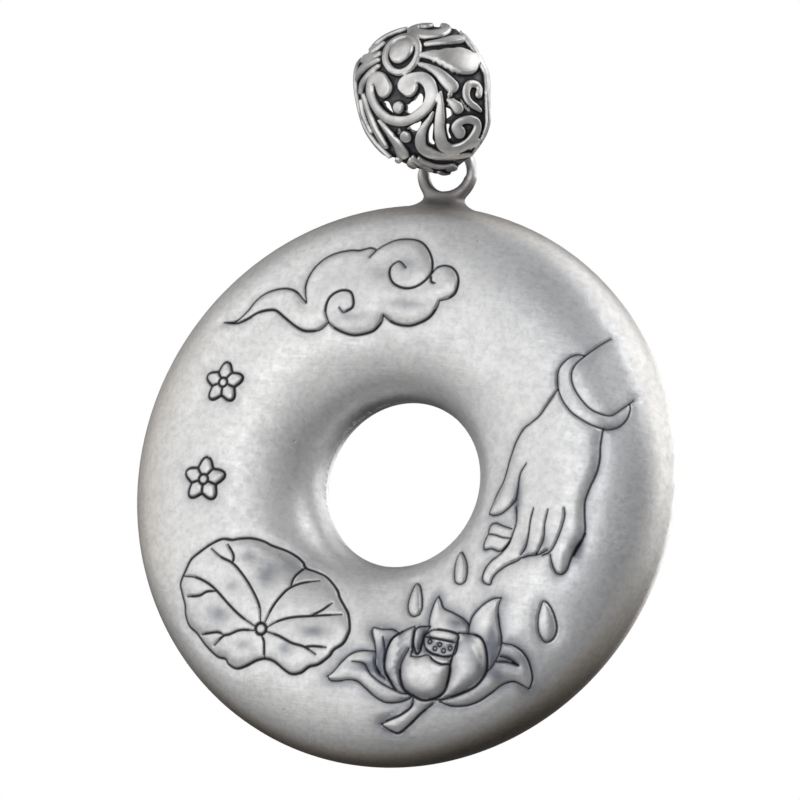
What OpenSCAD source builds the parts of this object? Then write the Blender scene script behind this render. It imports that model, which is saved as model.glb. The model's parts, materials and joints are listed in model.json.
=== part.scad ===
// Puffed silver ring pendant with a pierced scroll bail. Lengths are in millimetres, angles in degrees.
// The ring hangs upright with its ornament to the front (-Y). The origin is the point where
// a cord or chain carries the bail, between the two side rims of the bail's channel.

/* [Ring] */
// Outer diameter of the puffed ring
ring_d = 40; // [38:0.5:42]
// Diameter of the hole through its middle
hole_d = 11.8; // [11.4:0.1:12.2]
// Thickness through the fullest part
ring_t = 8.4; // [8:0.1:8.8]
// Radius of the rounded inner and outer rims
rim_r = 3.2; // [3:0.1:3.4]
// Thickness of the silver sheet
sheet_t = 0.7; // [0.6:0.05:0.8]
// Height of the ornament above the ring's face
relief_h = 0.16; // [0.12:0.02:0.24]
// Height of the nearer petals above the others
petal_h = 0.12; // [0.08:0.02:0.16]

/* [Eye] */
// Height of the eye's centre above the ring's centre
eye_z = 22.45; // [22.35:0.05:22.55]
// Radius of the eye along the middle of its wire
eye_r = 1.82; // [1.8:0.02:1.86]
// Diameter of the eye's wire
wire_d = 0.78; // [0.74:0.02:0.8]
// Width of the neck where it is narrowest
neck_w = 3.1; // [3:0.1:3.3]
// Width of the neck where it meets the ring
neck_base_w = 4.1; // [3.9:0.1:4.4]

/* [Bail] */
// Half height of the hoop without its scrolls
hoop_a = 5.35; // [5.3:0.05:5.4]
// Reach of the hoop to the front of its middle
hoop_front = 3.75; // [3.65:0.05:3.85]
// Reach of the hoop to the back of its middle
hoop_back = 3.2; // [3.1:0.05:3.3]
// Place of the hoop's middle, forward of the eye
hoop_fore = 0.75; // [0.7:0.05:0.8]
// Height of the hoop's middle above the eye's centre
hoop_z = 5.14; // [5.1:0.02:5.18]
// Fall of the hoop towards the right, for each millimetre across
hoop_skew = 0.17; // [0.14:0.01:0.2]
// Radius of the crown across the shell
crown_r = 5.5; // [5.4:0.1:5.8]
// Thickness of the shell
shell_t = 0.6; // [0.55:0.05:0.7]
// Height of the scrolls above the shell
scroll_h = 0.4; // [0.3:0.05:0.45]
// Lean of the hanging bail's top to the left
bail_lean = 22; // [21:0.5:23]
// Turn of the hanging bail's front to the left
bail_turn = 10; // [9:0.5:11]
// How far the hanging bail sits to the right in the eye
bail_shift = 0.6; // [0.55:0.05:0.65]

/* [Hidden] */
$fn = 96;

ring_mid = (ring_d + hole_d) / 4;
sect_a = (ring_d - hole_d) / 4;
sect_b = ring_t / 2;
// Share of the crown's drop that the hoop loses in depth and in height
drop_depth = 0.8;
drop_height = 0.65;
// The pattern runs level across the skewed hoop: its angle falls by this much for each
// millimetre to the right, and starts this much further round
pattern_twist = 1.89;
pattern_start = 2;

// Half widths of the shell to either side of its crown line, round the hoop:
// [angle from the top towards the front, left, right]
SIDES = [
    [0, 4.5, 2.9], [12, 4.65, 3.2], [24, 4.75, 3.65], [36, 4.8, 4.15], [48, 4.85, 4.55], [60, 4.85, 4.85],
    [84, 4.8, 5.1], [100, 4.7, 5.05], [120, 4.1, 4.85], [132, 3.55, 4.7], [144, 2.95, 4.5],
    [156, 2.15, 3.95], [166, 1.5, 2.4], [173, 1.3, 0.5], [180, 1.25, 0.05], [212, 1.3, 0.05],
    [226, 1.1, 0.5], [240, 0.5, 1.4], [254, 0.2, 1.8], [276, 0.15, 2], [292, 0.4, 2], [308, 1.9, 2.2],
    [322, 3.3, 2.5], [342, 4.15, 2.7], [360, 4.5, 2.9]
];
function left_w(q) = lookup(q, [for (s = SIDES) [s[0], s[1]]]);
function right_w(q) = lookup(q, [for (s = SIDES) [s[0], s[2]]]);

// The crowned shell: x across, q degrees round the hoop
function drop(x) = crown_r - sqrt(crown_r * crown_r - x * x);
function reach(q) = sin(q) > 0 ? hoop_front : hoop_back;
function skin(x, q) = let (k = q - pattern_twist * x + pattern_start) [
    x,
    -hoop_fore - (reach(k) - drop_depth * drop(x)) * sin(k),
    hoop_z + (hoop_a - drop_height * drop(x)) * cos(k) - hoop_skew * x
];
function unit(v) = v / norm(v);
function along(x, q) = unit(skin(x + 0.02, q) - skin(x - 0.02, q));
function outward(x, q) = unit(cross(skin(x, q + 0.5) - skin(x, q - 0.5), along(x, q)));
function lifted(x, q, h) = skin(x, q) + h * outward(x, q);
// Rows and columns of a frame that stands on the shell
function seat(x, q) = let (a = along(x, q), n = outward(x, q), b = cross(n, a), p = skin(x, q))
    [[a[0], b[0], n[0], p[0]], [a[1], b[1], n[1], p[1]], [a[2], b[2], n[2], p[2]], [0, 0, 0, 1]];

// Scrolls of the bail as strokes: each row is [x, angle round the hoop, width]
RIGHT_CURL = [
    [0.4, 87, 1.3], [0.05, 83.5, 1], [0.25, 80.5, 0.75], [0.8, 80.7, 0.75], [1.42, 83, 0.85],
    [1.78, 88.5, 0.9], [1.84, 94.5, 0.9], [1.72, 100, 0.88], [1.3, 105.2, 0.8], [0.6, 108.3, 0.72],
    [-0.25, 109.4, 0.68], [-1.05, 107.5, 0.68], [-1.78, 103, 0.68], [-2.3, 96.5, 0.7], [-2.6, 89.5, 0.68],
    [-2.83, 81.5, 0.68], [-2.9, 74, 0.72], [-2.65, 67.5, 0.8], [-2.15, 66.8, 0.95], [-1.75, 71.5, 1.15],
    [-1.55, 79, 1.3]
];
SPIRAL_STEM = [
    [2.4, 98.5, 0.22], [2.15, 108.5, 0.52], [1.88, 116.5, 0.7], [1.57, 124, 0.74], [1.32, 132.5, 0.84],
    [1.25, 139.5, 0.88], [1.65, 146.5, 0.8], [2.35, 149, 0.75], [3.1, 147, 0.7], [3.65, 141.5, 0.6],
    [3.8, 135, 0.58], [3.55, 129, 0.58], [3, 126.3, 0.55], [2.55, 129.5, 0.75], [2.75, 136, 1.05]
];
TIP_STEM = [
    [1.5, 111.5, 0.2], [1.15, 115, 0.36], [0.5, 119.5, 0.52], [0, 125.5, 0.76], [-0.25, 132.5, 0.82],
    [0, 140, 0.8], [0.55, 147.5, 0.62], [1.3, 155, 0.52], [1.95, 160, 0.45], [2.3, 162.5, 0.35]
];
TOP_CURL = [
    [2.5, 17, 0.5], [2.9, 28, 0.65], [2.7, 37, 0.8], [2.15, 40, 0.85], [1.55, 38.5, 0.85],
    [0.9, 33.5, 0.85], [0.6, 24, 0.8], [0.95, 16.5, 0.7], [1.5, 20, 0.8]
];
SIDE_CURL = [
    [4.35, 108.5, 0.6], [4.5, 104, 0.45], [4.4, 98.5, 0.5], [4.15, 97, 0.6], [3.98, 102, 0.62],
    [3.88, 108.5, 0.62], [3.95, 114.7, 0.55], [4.18, 121, 0.4], [4.3, 126, 0.22]
];
STROKES = [
    RIGHT_CURL, SPIRAL_STEM, TIP_STEM, TOP_CURL, SIDE_CURL,
    [[1.85, 52.5, 0.32], [2.5, 51.7, 0.42], [3.1, 49.5, 0.6], [3.6, 45.5, 0.72], [3.9, 42.5, 0.62]],
    [[1.65, 63.5, 0.38], [2.3, 65.2, 0.75], [2.9, 67.5, 1.2], [3.45, 70, 1.65], [3.9, 71.8, 1.95],
     [4.15, 72.5, 1.85]],
    [[1.4, 70.5, 0.35], [2.05, 74.4, 0.55], [2.55, 80.2, 0.82], [2.9, 89.3, 1], [3.15, 95.5, 1]],
    [[2.75, 106.8, 0.3], [2.98, 111.3, 0.65], [3.17, 116.2, 0.95]],
    [[2.75, 155, 0.4], [3.35, 153, 0.45]],
    [[-3.68, 72, 0.35], [-3.6, 80, 0.42], [-3.5, 92, 0.46], [-3.38, 106, 0.5], [-3.12, 122, 0.55]],
    [[-4.2, 74, 0.35], [-4.3, 85, 0.45], [-4.15, 96, 0.4], [-3.95, 106, 0.3]],
    [[-2.72, 100, 0.22], [-2.48, 106, 0.34], [-2.15, 116.5, 0.52], [-1.97, 125, 0.75], [-2, 133, 0.95]],
    [[-1.65, 141, 0.3], [-1.9, 146.5, 0.6], [-1.95, 151, 0.55]],
    [[-1.35, 139, 0.22], [-1.3, 147, 0.4], [-1.2, 155, 0.48], [-1.05, 163, 0.45]],
    [[-0.95, 142, 0.25], [-0.75, 150, 0.45], [-0.4, 157.5, 0.5], [0.1, 162.5, 0.45], [0.8, 165.5, 0.4]],
    [[-0.1, 19, 0.4], [-0.9, 16.5, 0.7], [-1.75, 16.5, 0.85], [-2.35, 21, 0.7], [-2.55, 26, 0.45]],
    [[-1.5, 33.5, 0.3], [-2, 34, 0.5], [-2.45, 31.5, 0.6], [-2.75, 27.5, 0.4]],
    [[-1.7, 45, 0.35], [-2.3, 43.5, 0.5], [-2.9, 38.5, 0.65], [-3.45, 32, 0.6]],
    [[-1.8, 51, 0.28], [-2.55, 49, 0.4], [-3.3, 45.5, 0.55], [-3.9, 44, 0.55], [-4.3, 44, 0.4]],
    [[-1.8, 57.5, 0.3], [-2.4, 58, 0.42], [-3.05, 59.5, 0.5], [-3.65, 61.5, 0.5], [-3.95, 66, 0.35]],
    [[-0.6, 170, 0.4], [-0.55, 180, 0.5], [-0.6, 192, 0.45]],
    [[0.2, 170, 0.4], [0.8, 169.5, 0.45]],
    [[0, -12, 0.5], [0, -24, 0.7], [0, -36, 0.8], [0, -48, 0.45]],
    [[1, -12, 0.35], [1.7, -20, 0.55], [1.9, -31, 0.6], [1.4, -40, 0.45], [1, -34, 0.35]],
    [[-1, -12, 0.35], [-1.7, -20, 0.55], [-1.9, -31, 0.6], [-1.4, -40, 0.45], [-1, -34, 0.35]]
];
// Beads between the scrolls: [x, angle round the hoop, width]
BEADS = [[-0.78, 97.5, 0.84], [-1.07, 120.3, 0.82], [2.9, 102.6, 0.32], [-2.65, 139.5, 0.5]];
// Gaps cut through the shell, each a small outline of [x, angle] rows round its own middle
GAPS = [
    [[-2.45, 86], [-2.05, 87], [-1.6, 90], [-1.5, 96.5], [-1.45, 101.5], [-1.95, 98.5], [-2.35, 92.5]],
    [[-0.35, 97.3], [0.2, 96.5], [0.8, 92.8], [1.1, 96.5], [0.85, 102.5], [0.4, 105.5], [-0.4, 103.5]],
    [[-0.9, 115], [-0.5, 113.8], [0.35, 113.6], [0.3, 116], [0.05, 118.2], [-0.4, 120]],
    [[0.95, 116], [1.15, 120], [0.88, 126], [0.68, 130], [0.6, 135], [-0.1, 134.5], [-0.1, 127], [0.2, 121]],
    [[2.3, 110.5], [2.65, 114.5], [2.65, 118], [2.3, 119.5], [2.05, 119], [2.15, 115]],
    [[1.82, 124.5], [2.2, 125.5], [1.97, 130], [1.9, 136.5], [1.52, 136], [1.58, 130]],
    [[-2.85, 101], [-2.68, 105.5], [-2.55, 113], [-2.45, 122], [-2.48, 129], [-2.72, 128], [-2.85, 120],
     [-2.92, 110]],
    [[-3.98, 92], [-3.82, 94], [-3.68, 103], [-3.52, 114], [-3.66, 115], [-3.82, 106], [-3.98, 98]],
    [[3.5, 107.5], [3.6, 113], [3.8, 119.5], [3.65, 121.5], [3.5, 117], [3.42, 111.5]],
    [[-1.75, 112], [-1.45, 112.3], [-1.4, 114.5], [-1.6, 117], [-1.8, 121], [-1.88, 117]],
    [[0.85, 159.5], [1.4, 161.5], [1.8, 165.5], [1.35, 165.3], [0.8, 163]],
    [[1.85, 46], [2.4, 45.8], [2.9, 43.5], [3.02, 44.5], [2.6, 48.3], [1.9, 49.5]]
];

// Outlines of the raised figures on the ring's face: [x, z] from the ring's centre
CLOUD = [
    [-14, 10.05], [-12.9, 10.25], [-12.2, 10.9], [-11.6, 11.8], [-10.8, 12.4], [-9.6, 12.7], [-8.6, 12.5],
    [-7.6, 11.7], [-7.9, 12.9], [-7.7, 14], [-7.1, 14.9], [-6.2, 15.5], [-5, 15.8], [-3.6, 16.05],
    [-3.1, 15.9], [-2.6, 16.3], [-1.8, 16.75], [-0.8, 16.9], [0.1, 16.75], [0.8, 16.2], [1.3, 15.4],
    [1.45, 14.4], [1.8, 14.9], [2.3, 15.1], [2.9, 14.95], [3.4, 14.5], [3.55, 13.8], [3.4, 13.1],
    [2.4, 12.5], [2, 11.6], [1.2, 10.9], [0.4, 10.6], [-0.5, 10.6], [-1.7, 11.2], [-2.3, 10.1],
    [-3.1, 9.75], [-4, 9.65], [-5, 9.95], [-5.7, 10.4], [-6.5, 9.75], [-7.4, 9.7], [-8.3, 10.05],
    [-9.8, 11], [-10.8, 11], [-12.1, 10.3]
];
LEAF = [
    [-9.2, -5.25], [-7.7, -5.6], [-6.3, -5.95], [-5.1, -6.9], [-3.6, -7.35], [-2.5, -8.3], [-1.7, -9.4],
    [-1.05, -10.4], [-0.95, -11.4], [-1.8, -12.6], [-2.8, -13.7], [-4.1, -14.4], [-5.4, -14.3],
    [-6.9, -13.65], [-8.2, -14.15], [-9.5, -14.4], [-10.9, -13.7], [-12.7, -12.2], [-13.75, -11],
    [-14.35, -9], [-13.6, -7.1], [-12.1, -5.9], [-10.6, -5.5]
];
HAND = [
    [13.5, 9.45], [12.5, 9.2], [11.9, 8.3], [12.05, 6.8], [11, 5], [9.8, 3.9], [9, 2], [8.6, 0.2],
    [7.8, -2.05], [9, -1.9], [9.95, -0.9], [10.1, -2.8], [8.5, -2.7], [8, -3.2], [7.9, -4.5],
    [9.3, -4.7], [8.5, -5.8], [8.4, -6.9], [9, -7.1], [9.6, -6], [11, -5.1], [12.9, -4.5], [13.3, -5.2],
    [14, -6], [14.6, -4.9], [15.3, -3.1], [15.1, -0.8], [15.7, 2.2], [15.6, 4.4], [16.7, 4.8],
    [17.1, 6], [16.2, 7.2], [15, 8.6]
];
FAR_PETALS = [
    [[5.2, -8.15], [4.9, -9.2], [4.9, -10.4], [5.6, -11.4], [7.4, -11.4], [8.2, -10.5], [7.6, -9.7],
     [5.8, -9]],
    [[10, -8], [8.7, -8.6], [8, -9.8], [8, -10.8], [9.3, -13.2], [10.1, -12.2], [10.4, -10.9], [10, -9.4]],
    [[0.85, -10.75], [1.1, -11.8], [1.4, -13.2], [2.3, -14.4], [3, -12.6], [2.9, -11.1], [2.3, -10.8]],
    [[-2.05, -14.5], [-1.1, -13.4], [-0.4, -12.75], [1.2, -12.45], [2, -13.9], [4.2, -15.3], [3.4, -15.8],
     [2.3, -15.9], [0.9, -15.1], [0.2, -14.65], [-1.3, -14.75]],
    [[10.4, -11.1], [11.7, -11.4], [12.5, -12.6], [12.4, -13.95], [11.3, -13.6], [9.8, -14.6], [8.2, -15.55],
     [6.5, -15.6], [8, -14.6], [9.6, -12.9]],
    [[4.4, -15.3], [4.2, -16], [2.1, -17.4], [3.4, -17.85], [4.4, -17], [5.9, -15.5]]
];
NEAR_PETALS = [
    [[3.75, -12.1], [3.3, -13.4], [3.5, -14.5], [4.4, -15.3], [5.3, -15.5], [6.4, -15], [6.9, -13.8],
     [6.95, -12.6], [5.2, -12.3]],
    [[7.3, -10.7], [8.9, -10.9], [9.5, -12], [9.4, -13.3], [8.2, -14.6], [6.3, -15.4], [6.9, -13.9],
     [7, -12.2]],
    [[4.6, -10.4], [3.2, -10.8], [2.2, -12.1], [2.2, -13.7], [3.3, -15.1], [3.9, -15.1], [3.4, -13.9],
     [3.7, -12.3], [4.4, -12.2]]
];
// Drops that fall from the hand: [x, z of the middle, length, width, tilt]
DROPS = [[3.5, -8.5, 2.5, 1.15, 14], [6.45, -6.05, 2.4, 1.15, 17], [13.45, -9.3, 2.8, 1.3, 8]];
// Small generic blossoms that fill the field on the left: [x, z, radius]
BLOSSOMS = [[-13, 5.6, 1.5], [-13.4, -1.4, 1.6]];
petals = 5;

// Closed section of the puffed ring, a lens whose ends are rounded off, grown by g
module puffed_section(g) {
    end_r = rim_r + g;
    half = sect_a + g;
    full = sect_b + g;
    end_x = half - end_r;
    face_r = (end_x * end_x + full * full - end_r * end_r) / (2 * (full - end_r));
    meet_x = end_x * face_r / (face_r - end_r);
    translate([ring_mid, 0]) {
        intersection() {
            translate([0, full - face_r]) circle(r = face_r, $fn = 240);
            translate([0, face_r - full]) circle(r = face_r, $fn = 240);
            square([2 * meet_x, 3 * full], center = true);
        }
        translate([end_x, 0]) circle(r = end_r);
        translate([-end_x, 0]) circle(r = end_r);
    }
}

module puffed_ring(g) {
    rotate([90, 0, 0]) rotate_extrude() puffed_section(g);
}

// A straight-sided block behind an outline, from the ring's middle plane to the front
module block(outline) {
    rotate([90, 0, 0]) linear_extrude(height = ring_t) polygon(outline);
}

// A drop is widest below its middle, where the sine times one plus the cosine comes to its fullest
drop_full = 1.3;
function drop_outline(d) = [for (a = [0 : 20 : 340])
    let (x = d[3] / 2 * sin(a) * (1 + cos(a)) / drop_full, z = -d[2] / 2 * cos(a))
    [d[0] + x * cos(d[4]) - z * sin(d[4]), d[1] + x * sin(d[4]) + z * cos(d[4])]];
// Share of a blossom's radius by which its outline goes in and out
lobe = 0.18;
function blossom_outline(b) = [for (a = [0 : 12 : 348])
    let (r = b[2] * (1 - lobe + lobe * cos(petals * a))) [b[0] + r * sin(a), b[1] + r * cos(a)]];

module figures() {
    intersection() {
        puffed_ring(relief_h);
        union() {
            block(CLOUD);
            block(LEAF);
            block(HAND);
            for (p = FAR_PETALS) block(p);
            for (d = DROPS) block(drop_outline(d));
            for (b = BLOSSOMS) block(blossom_outline(b));
        }
    }
    intersection() {
        puffed_ring(relief_h + petal_h);
        for (p = NEAR_PETALS) block(p);
    }
}

// Round collar that flares from the narrow of the neck down to the ring
module collar() {
    flare = (neck_base_w - neck_w) / 2;
    sunk = 0.6;
    height = 1.25;
    waist = 0.9;
    translate([0, 0, ring_d / 2 - sunk]) rotate_extrude() difference() {
        square([neck_base_w / 2, height]);
        translate([neck_w / 2 + flare, waist]) circle(r = flare);
    }
}

module eye() {
    web_t = 1.8 * wire_d;
    web_low = ring_d / 2 + 0.3;
    web_high = eye_z - 0.8;
    web_side = eye_r + 0.1;
    hole_r = eye_r - wire_d / 2 + 0.05;
    translate([0, 0, eye_z]) rotate([90, 0, 0]) rotate_extrude() translate([eye_r, 0]) circle(d = wire_d);
    difference() {
        translate([0, web_t / 2, 0]) rotate([90, 0, 0]) linear_extrude(height = web_t) polygon([
            [-neck_w / 2, web_low], [neck_w / 2, web_low], [web_side, web_high], [-web_side, web_high]
        ]);
        translate([0, 0, eye_z]) rotate([90, 0, 0]) cylinder(r = hole_r, h = 3 * web_t, center = true);
    }
    collar();
}

module pendant_ring_shape() {
    difference() {
        union() {
            puffed_ring(0);
            figures();
            eye();
        }
        puffed_ring(-sheet_t);
    }
}

// The shell round the hoop, thicker where it bears in the eye
rows = 48;
columns = 12;
function shell_x(q, j) = let (t = 2 * j / columns - 1) t < 0 ? t * left_w(q) : t * right_w(q);
bearing_extra = 0.35;
bearing_span = 26;
function wall(q) = shell_t + bearing_extra * max(0, 1 - pow((q - 180) / bearing_span, 2));
module shell() {
    outer = [for (i = [0 : rows - 1]) for (j = [0 : columns])
        let (q = 360 * i / rows) skin(shell_x(q, j), q)];
    inner = [for (i = [0 : rows - 1]) for (j = [0 : columns])
        let (q = 360 * i / rows) lifted(shell_x(q, j), q, -wall(q))];
    n = columns + 1;
    layer = rows * n;
    function at(i, j) = (i % rows) * n + j;
    polyhedron(
        points = concat(outer, inner),
        faces = concat(
            [for (i = [0 : rows - 1]) for (j = [0 : columns - 1]) each [
                [at(i, j), at(i, j + 1), at(i + 1, j + 1)], [at(i, j), at(i + 1, j + 1), at(i + 1, j)],
                [layer + at(i, j), layer + at(i + 1, j + 1), layer + at(i, j + 1)],
                [layer + at(i, j), layer + at(i + 1, j), layer + at(i + 1, j + 1)]
            ]],
            [for (i = [0 : rows - 1]) each [
                [at(i, 0), at(i + 1, 0), layer + at(i + 1, 0)],
                [at(i, 0), layer + at(i + 1, 0), layer + at(i, 0)],
                [at(i + 1, columns), at(i, columns), layer + at(i, columns)],
                [at(i + 1, columns), layer + at(i, columns), layer + at(i + 1, columns)]
            ]]
        )
    );
}

// A plug through the shell, whose outline goes round its own middle. It widens inwards.
function doubled_area(o) = let (n = len(o))
    [for (i = [0 : n - 1]) o[i][0] * o[(i + 1) % n][1] - o[(i + 1) % n][0] * o[i][1]] * [for (p = o) 1];
module gap(rows_given) {
    deep = 1.6 * shell_t;
    spread = 1.25;
    n = len(rows_given);
    outline = doubled_area(rows_given) < 0 ? rows_given : [for (i = [n - 1 : -1 : 0]) rows_given[i]];
    mid_x = [for (p = outline) p[0]] * [for (p = outline) 1] / n;
    mid_q = [for (p = outline) p[1]] * [for (p = outline) 1] / n;
    polyhedron(
        points = concat(
            [for (p = outline) lifted(p[0], p[1], scroll_h)],
            [for (p = outline) lifted(
                mid_x + spread * (p[0] - mid_x), mid_q + spread * (p[1] - mid_q), -deep)],
            [lifted(mid_x, mid_q, scroll_h), lifted(mid_x, mid_q, -deep)]
        ),
        faces = [for (i = [0 : n - 1]) let (k = (i + 1) % n) each [
            [i, 2 * n, k], [n + i, n + k, 2 * n + 1], [i, k, n + k], [i, n + k, n + i]
        ]]
    );
}

// One end of a stroke's span: a short stud with sloping sides
module stud(row) {
    sink = 0.2;
    slope = 0.04;
    multmatrix(seat(row[0], row[1])) translate([0, 0, -sink])
        cylinder(h = sink + scroll_h, r1 = row[2] / 2 + slope, r2 = row[2] / 2 - slope, $fn = 6);
}
module stroke(table) {
    for (i = [0 : len(table) - 2]) hull() {
        stud(table[i]);
        stud(table[i + 1]);
    }
}

// Oval boss in a ring at the top of the pattern
module medallion() {
    middle = [0.08, 54.5];
    ring_half = [1.28, 18.5];
    ring_lean = 2.5;
    ring_w = 0.48;
    boss_middle = [0.1, 52.8];
    boss_half = [0.55, 7.5];
    boss_w = 0.7;
    turns = 14;
    for (i = [0 : turns - 1]) hull() for (k = [i, i + 1]) let (a = 360 * k / turns) stud([
        middle[0] + ring_half[0] * cos(a),
        middle[1] + ring_half[1] * sin(a) + ring_lean * cos(a),
        ring_w
    ]);
    hull() for (a = [0 : 45 : 315])
        stud([boss_middle[0] + boss_half[0] * cos(a), boss_middle[1] + boss_half[1] * sin(a), boss_w]);
}

// Plain rims that finish the shell's two sides
module side_rims() {
    inset = 0.12;
    rim_w = 0.45;
    pitch = 15;
    for (q = [15 : pitch : 150])
        stroke([for (k = [q, q + pitch]) [right_w(k) - inset, k, rim_w]]);
    for (q = [0 : pitch : 120])
        stroke([for (k = [q, q + pitch]) [inset - left_w(k), k, rim_w]]);
}

module scroll_bail_shape() {
    difference() {
        shell();
        for (g = GAPS) gap(g);
    }
    for (s = STROKES) stroke(s);
    for (b = BEADS) hull() {
        stud([b[0] - 0.01, b[1], b[2]]);
        stud([b[0] + 0.01, b[1], b[2]]);
    }
    medallion();
    side_rims();
}

// The hanging bail leans and turns about the eye's centre
function leaned(v) = let (
        c = cos(bail_turn),
        s = sin(bail_turn),
        x = c * v[0] + s * v[1],
        y = c * v[1] - s * v[0]
    ) [x * cos(bail_lean) - v[2] * sin(bail_lean), y, x * sin(bail_lean) + v[2] * cos(bail_lean)];
// The cord rests on the inner sides of the two rims, and the origin is half way between them
function rest_z(x) = hoop_z + hoop_a - drop_height * drop(x) - hoop_skew * x - shell_t;
bearing = [
    bail_shift + (right_w(0) - left_w(0)) / 2,
    -hoop_fore,
    (rest_z(-left_w(0)) + rest_z(right_w(0))) / 2
];
eye_centre = -leaned(bearing);

module pendant_ring() {
    color("silver") translate(eye_centre - [0, 0, eye_z]) pendant_ring_shape();
}
module scroll_bail() {
    color("gainsboro") translate(eye_centre) rotate([0, -bail_lean, 0]) rotate([0, 0, -bail_turn])
        translate([bail_shift, 0, 0]) scroll_bail_shape();
}

pendant_ring();
scroll_bail();
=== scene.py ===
# Looks of the puffed ring pendant and its scroll bail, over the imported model
import json
import math

import bpy
import numpy as np
from mathutils import Matrix, Vector
from mathutils.geometry import delaunay_2d_cdt


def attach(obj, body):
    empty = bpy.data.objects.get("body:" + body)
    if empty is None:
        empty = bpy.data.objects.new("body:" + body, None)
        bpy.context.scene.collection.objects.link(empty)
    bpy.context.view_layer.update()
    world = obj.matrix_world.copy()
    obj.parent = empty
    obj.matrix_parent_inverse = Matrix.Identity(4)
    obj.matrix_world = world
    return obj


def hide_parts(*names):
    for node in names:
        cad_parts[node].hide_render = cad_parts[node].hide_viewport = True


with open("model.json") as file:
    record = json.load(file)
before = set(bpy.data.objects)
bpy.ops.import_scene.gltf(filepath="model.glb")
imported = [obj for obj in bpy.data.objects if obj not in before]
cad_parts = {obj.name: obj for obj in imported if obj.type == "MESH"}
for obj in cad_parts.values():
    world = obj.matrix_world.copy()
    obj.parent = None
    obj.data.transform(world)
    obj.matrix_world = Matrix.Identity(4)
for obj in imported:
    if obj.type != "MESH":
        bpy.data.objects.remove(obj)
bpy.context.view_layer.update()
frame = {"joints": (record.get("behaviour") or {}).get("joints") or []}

MM = 0.001
SEED = 7

# Places in the part's frame, in millimetres
EYE_R = 1.82
EYE_Z = 22.45
HINGE = np.array(frame["joints"][0]["pos_m"], float) * 1000
EYE = HINGE - [0, 0, EYE_R]
RING = EYE - [0, 0, EYE_Z]

# Puffed ring, in millimetres: its section has faces of one radius and rims of another, which meet at MEET
R_MID = 12.95
HALF_W = 7.05
HALF_T = 4.2
R_END = 3.2
END_Q = HALF_W - R_END
R_FACE = (END_Q ** 2 + HALF_T ** 2 - R_END ** 2) / (2 * (HALF_T - R_END))
MEET_Q = END_Q * R_FACE / (R_FACE - R_END)
MEET = math.acos(MEET_Q / R_FACE)
# The section unrolled: how far along it its arcs meet, the normal's angle there, and the radii of its ends
ARC_AT = np.cumsum([0, R_END * MEET, R_FACE * (math.pi - 2 * MEET), R_END * MEET])
ANGLE_AT = np.array([math.pi, math.pi - MEET, MEET, 0])
FLAT_IN = R_MID - ARC_AT[-1] / 2
FLAT_OUT = R_MID + ARC_AT[-1] / 2
# Points round its rims, rows of its back and pitch of the points inside its figures
TURNS = 360
BACK_ROWS = 44
FACE_PITCH = 0.21

# Eye and neck: the wire, the neck's rows of [height, half width, half depth] from the ring's centre, how
# softly the eye and the ring flow into it, and how far under the ring's skin it follows the rim
WIRE = 0.39
NECK = [
    [18.6, 1.75, 0.95], [19.9, 1.6, 0.85], [20.4, 1.5, 0.75], [20.9, 1.55, 0.66], [21.4, 1.75, 0.5],
    [22.2, 1.9, 0.3],
]
EYE_BLEND = 0.25
NECK_BLEND = 0.85
RIM_INSET = 0.035
# The egg that bounds them, by its half axes and its middle's height, and the step of their grid
NECK_REACH = (2.9, 2.5, 4.4)
NECK_MIDDLE = 20.6
NET_STEP = 0.075

# Engraved lines of the face: rows of [x, z] from the ring's centre
CLOUD_LINES = [
    [[-14, 10.05], [-12.9, 10.2], [-12.2, 10.9], [-11.6, 11.8], [-10.8, 12.4], [-9.6, 12.7], [-8.6, 12.5],
     [-7.6, 11.7]],
    [[-7.6, 11.7], [-7.9, 12.9], [-7.7, 14], [-7.1, 14.9], [-6.2, 15.5], [-5, 15.8], [-4.3, 15.8],
     [-3.6, 16.05], [-3.1, 15.9], [-3.4, 15.3]],
    [[-3.1, 15.9], [-2.6, 16.3], [-1.8, 16.75], [-0.8, 16.9], [0.1, 16.75], [0.8, 16.2], [1.3, 15.4],
     [1.45, 14.5], [1.1, 13.8], [0.4, 13.3], [-0.4, 13.2], [-1.2, 13.5], [-1.6, 14.1], [-1.6, 14.7],
     [-1.2, 15.1], [-0.9, 15.05], [-0.5, 14.7]],
    [[1.45, 14.3], [1.7, 14.8], [2.2, 15.05], [2.8, 15], [3.3, 14.6], [3.55, 14], [3.5, 13.2],
     [3.1, 12.75], [2.4, 12.5]],
    [[1.5, 14.2], [1.6, 13.8], [1.9, 13.7]],
    [[2.4, 12.5], [2.2, 11.9], [1.8, 11.3], [1.2, 10.9], [0.4, 10.6], [-0.4, 10.6], [-1.1, 10.8],
     [-1.7, 11.2]],
    [[-1.7, 11.2], [-1.8, 10.7], [-2.3, 10.1], [-3, 9.8], [-3.8, 9.65], [-4.6, 9.8], [-5.3, 10.1],
     [-5.7, 10.4]],
    [[-5.7, 10.4], [-6, 11.2], [-5.9, 12], [-5.5, 12.5], [-4.9, 12.75], [-4.3, 12.65], [-4, 12.1],
     [-4, 11.6], [-4.4, 11.3], [-4.7, 11.2], [-5, 11.5]],
    [[-5.7, 10.4], [-6.2, 9.9], [-6.8, 9.7], [-7.5, 9.7], [-8.2, 10], [-9, 10.5], [-9.8, 11],
     [-10.4, 11.05], [-11.2, 10.85], [-12.1, 10.3], [-12.9, 10], [-14, 10.05]],
]
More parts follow.
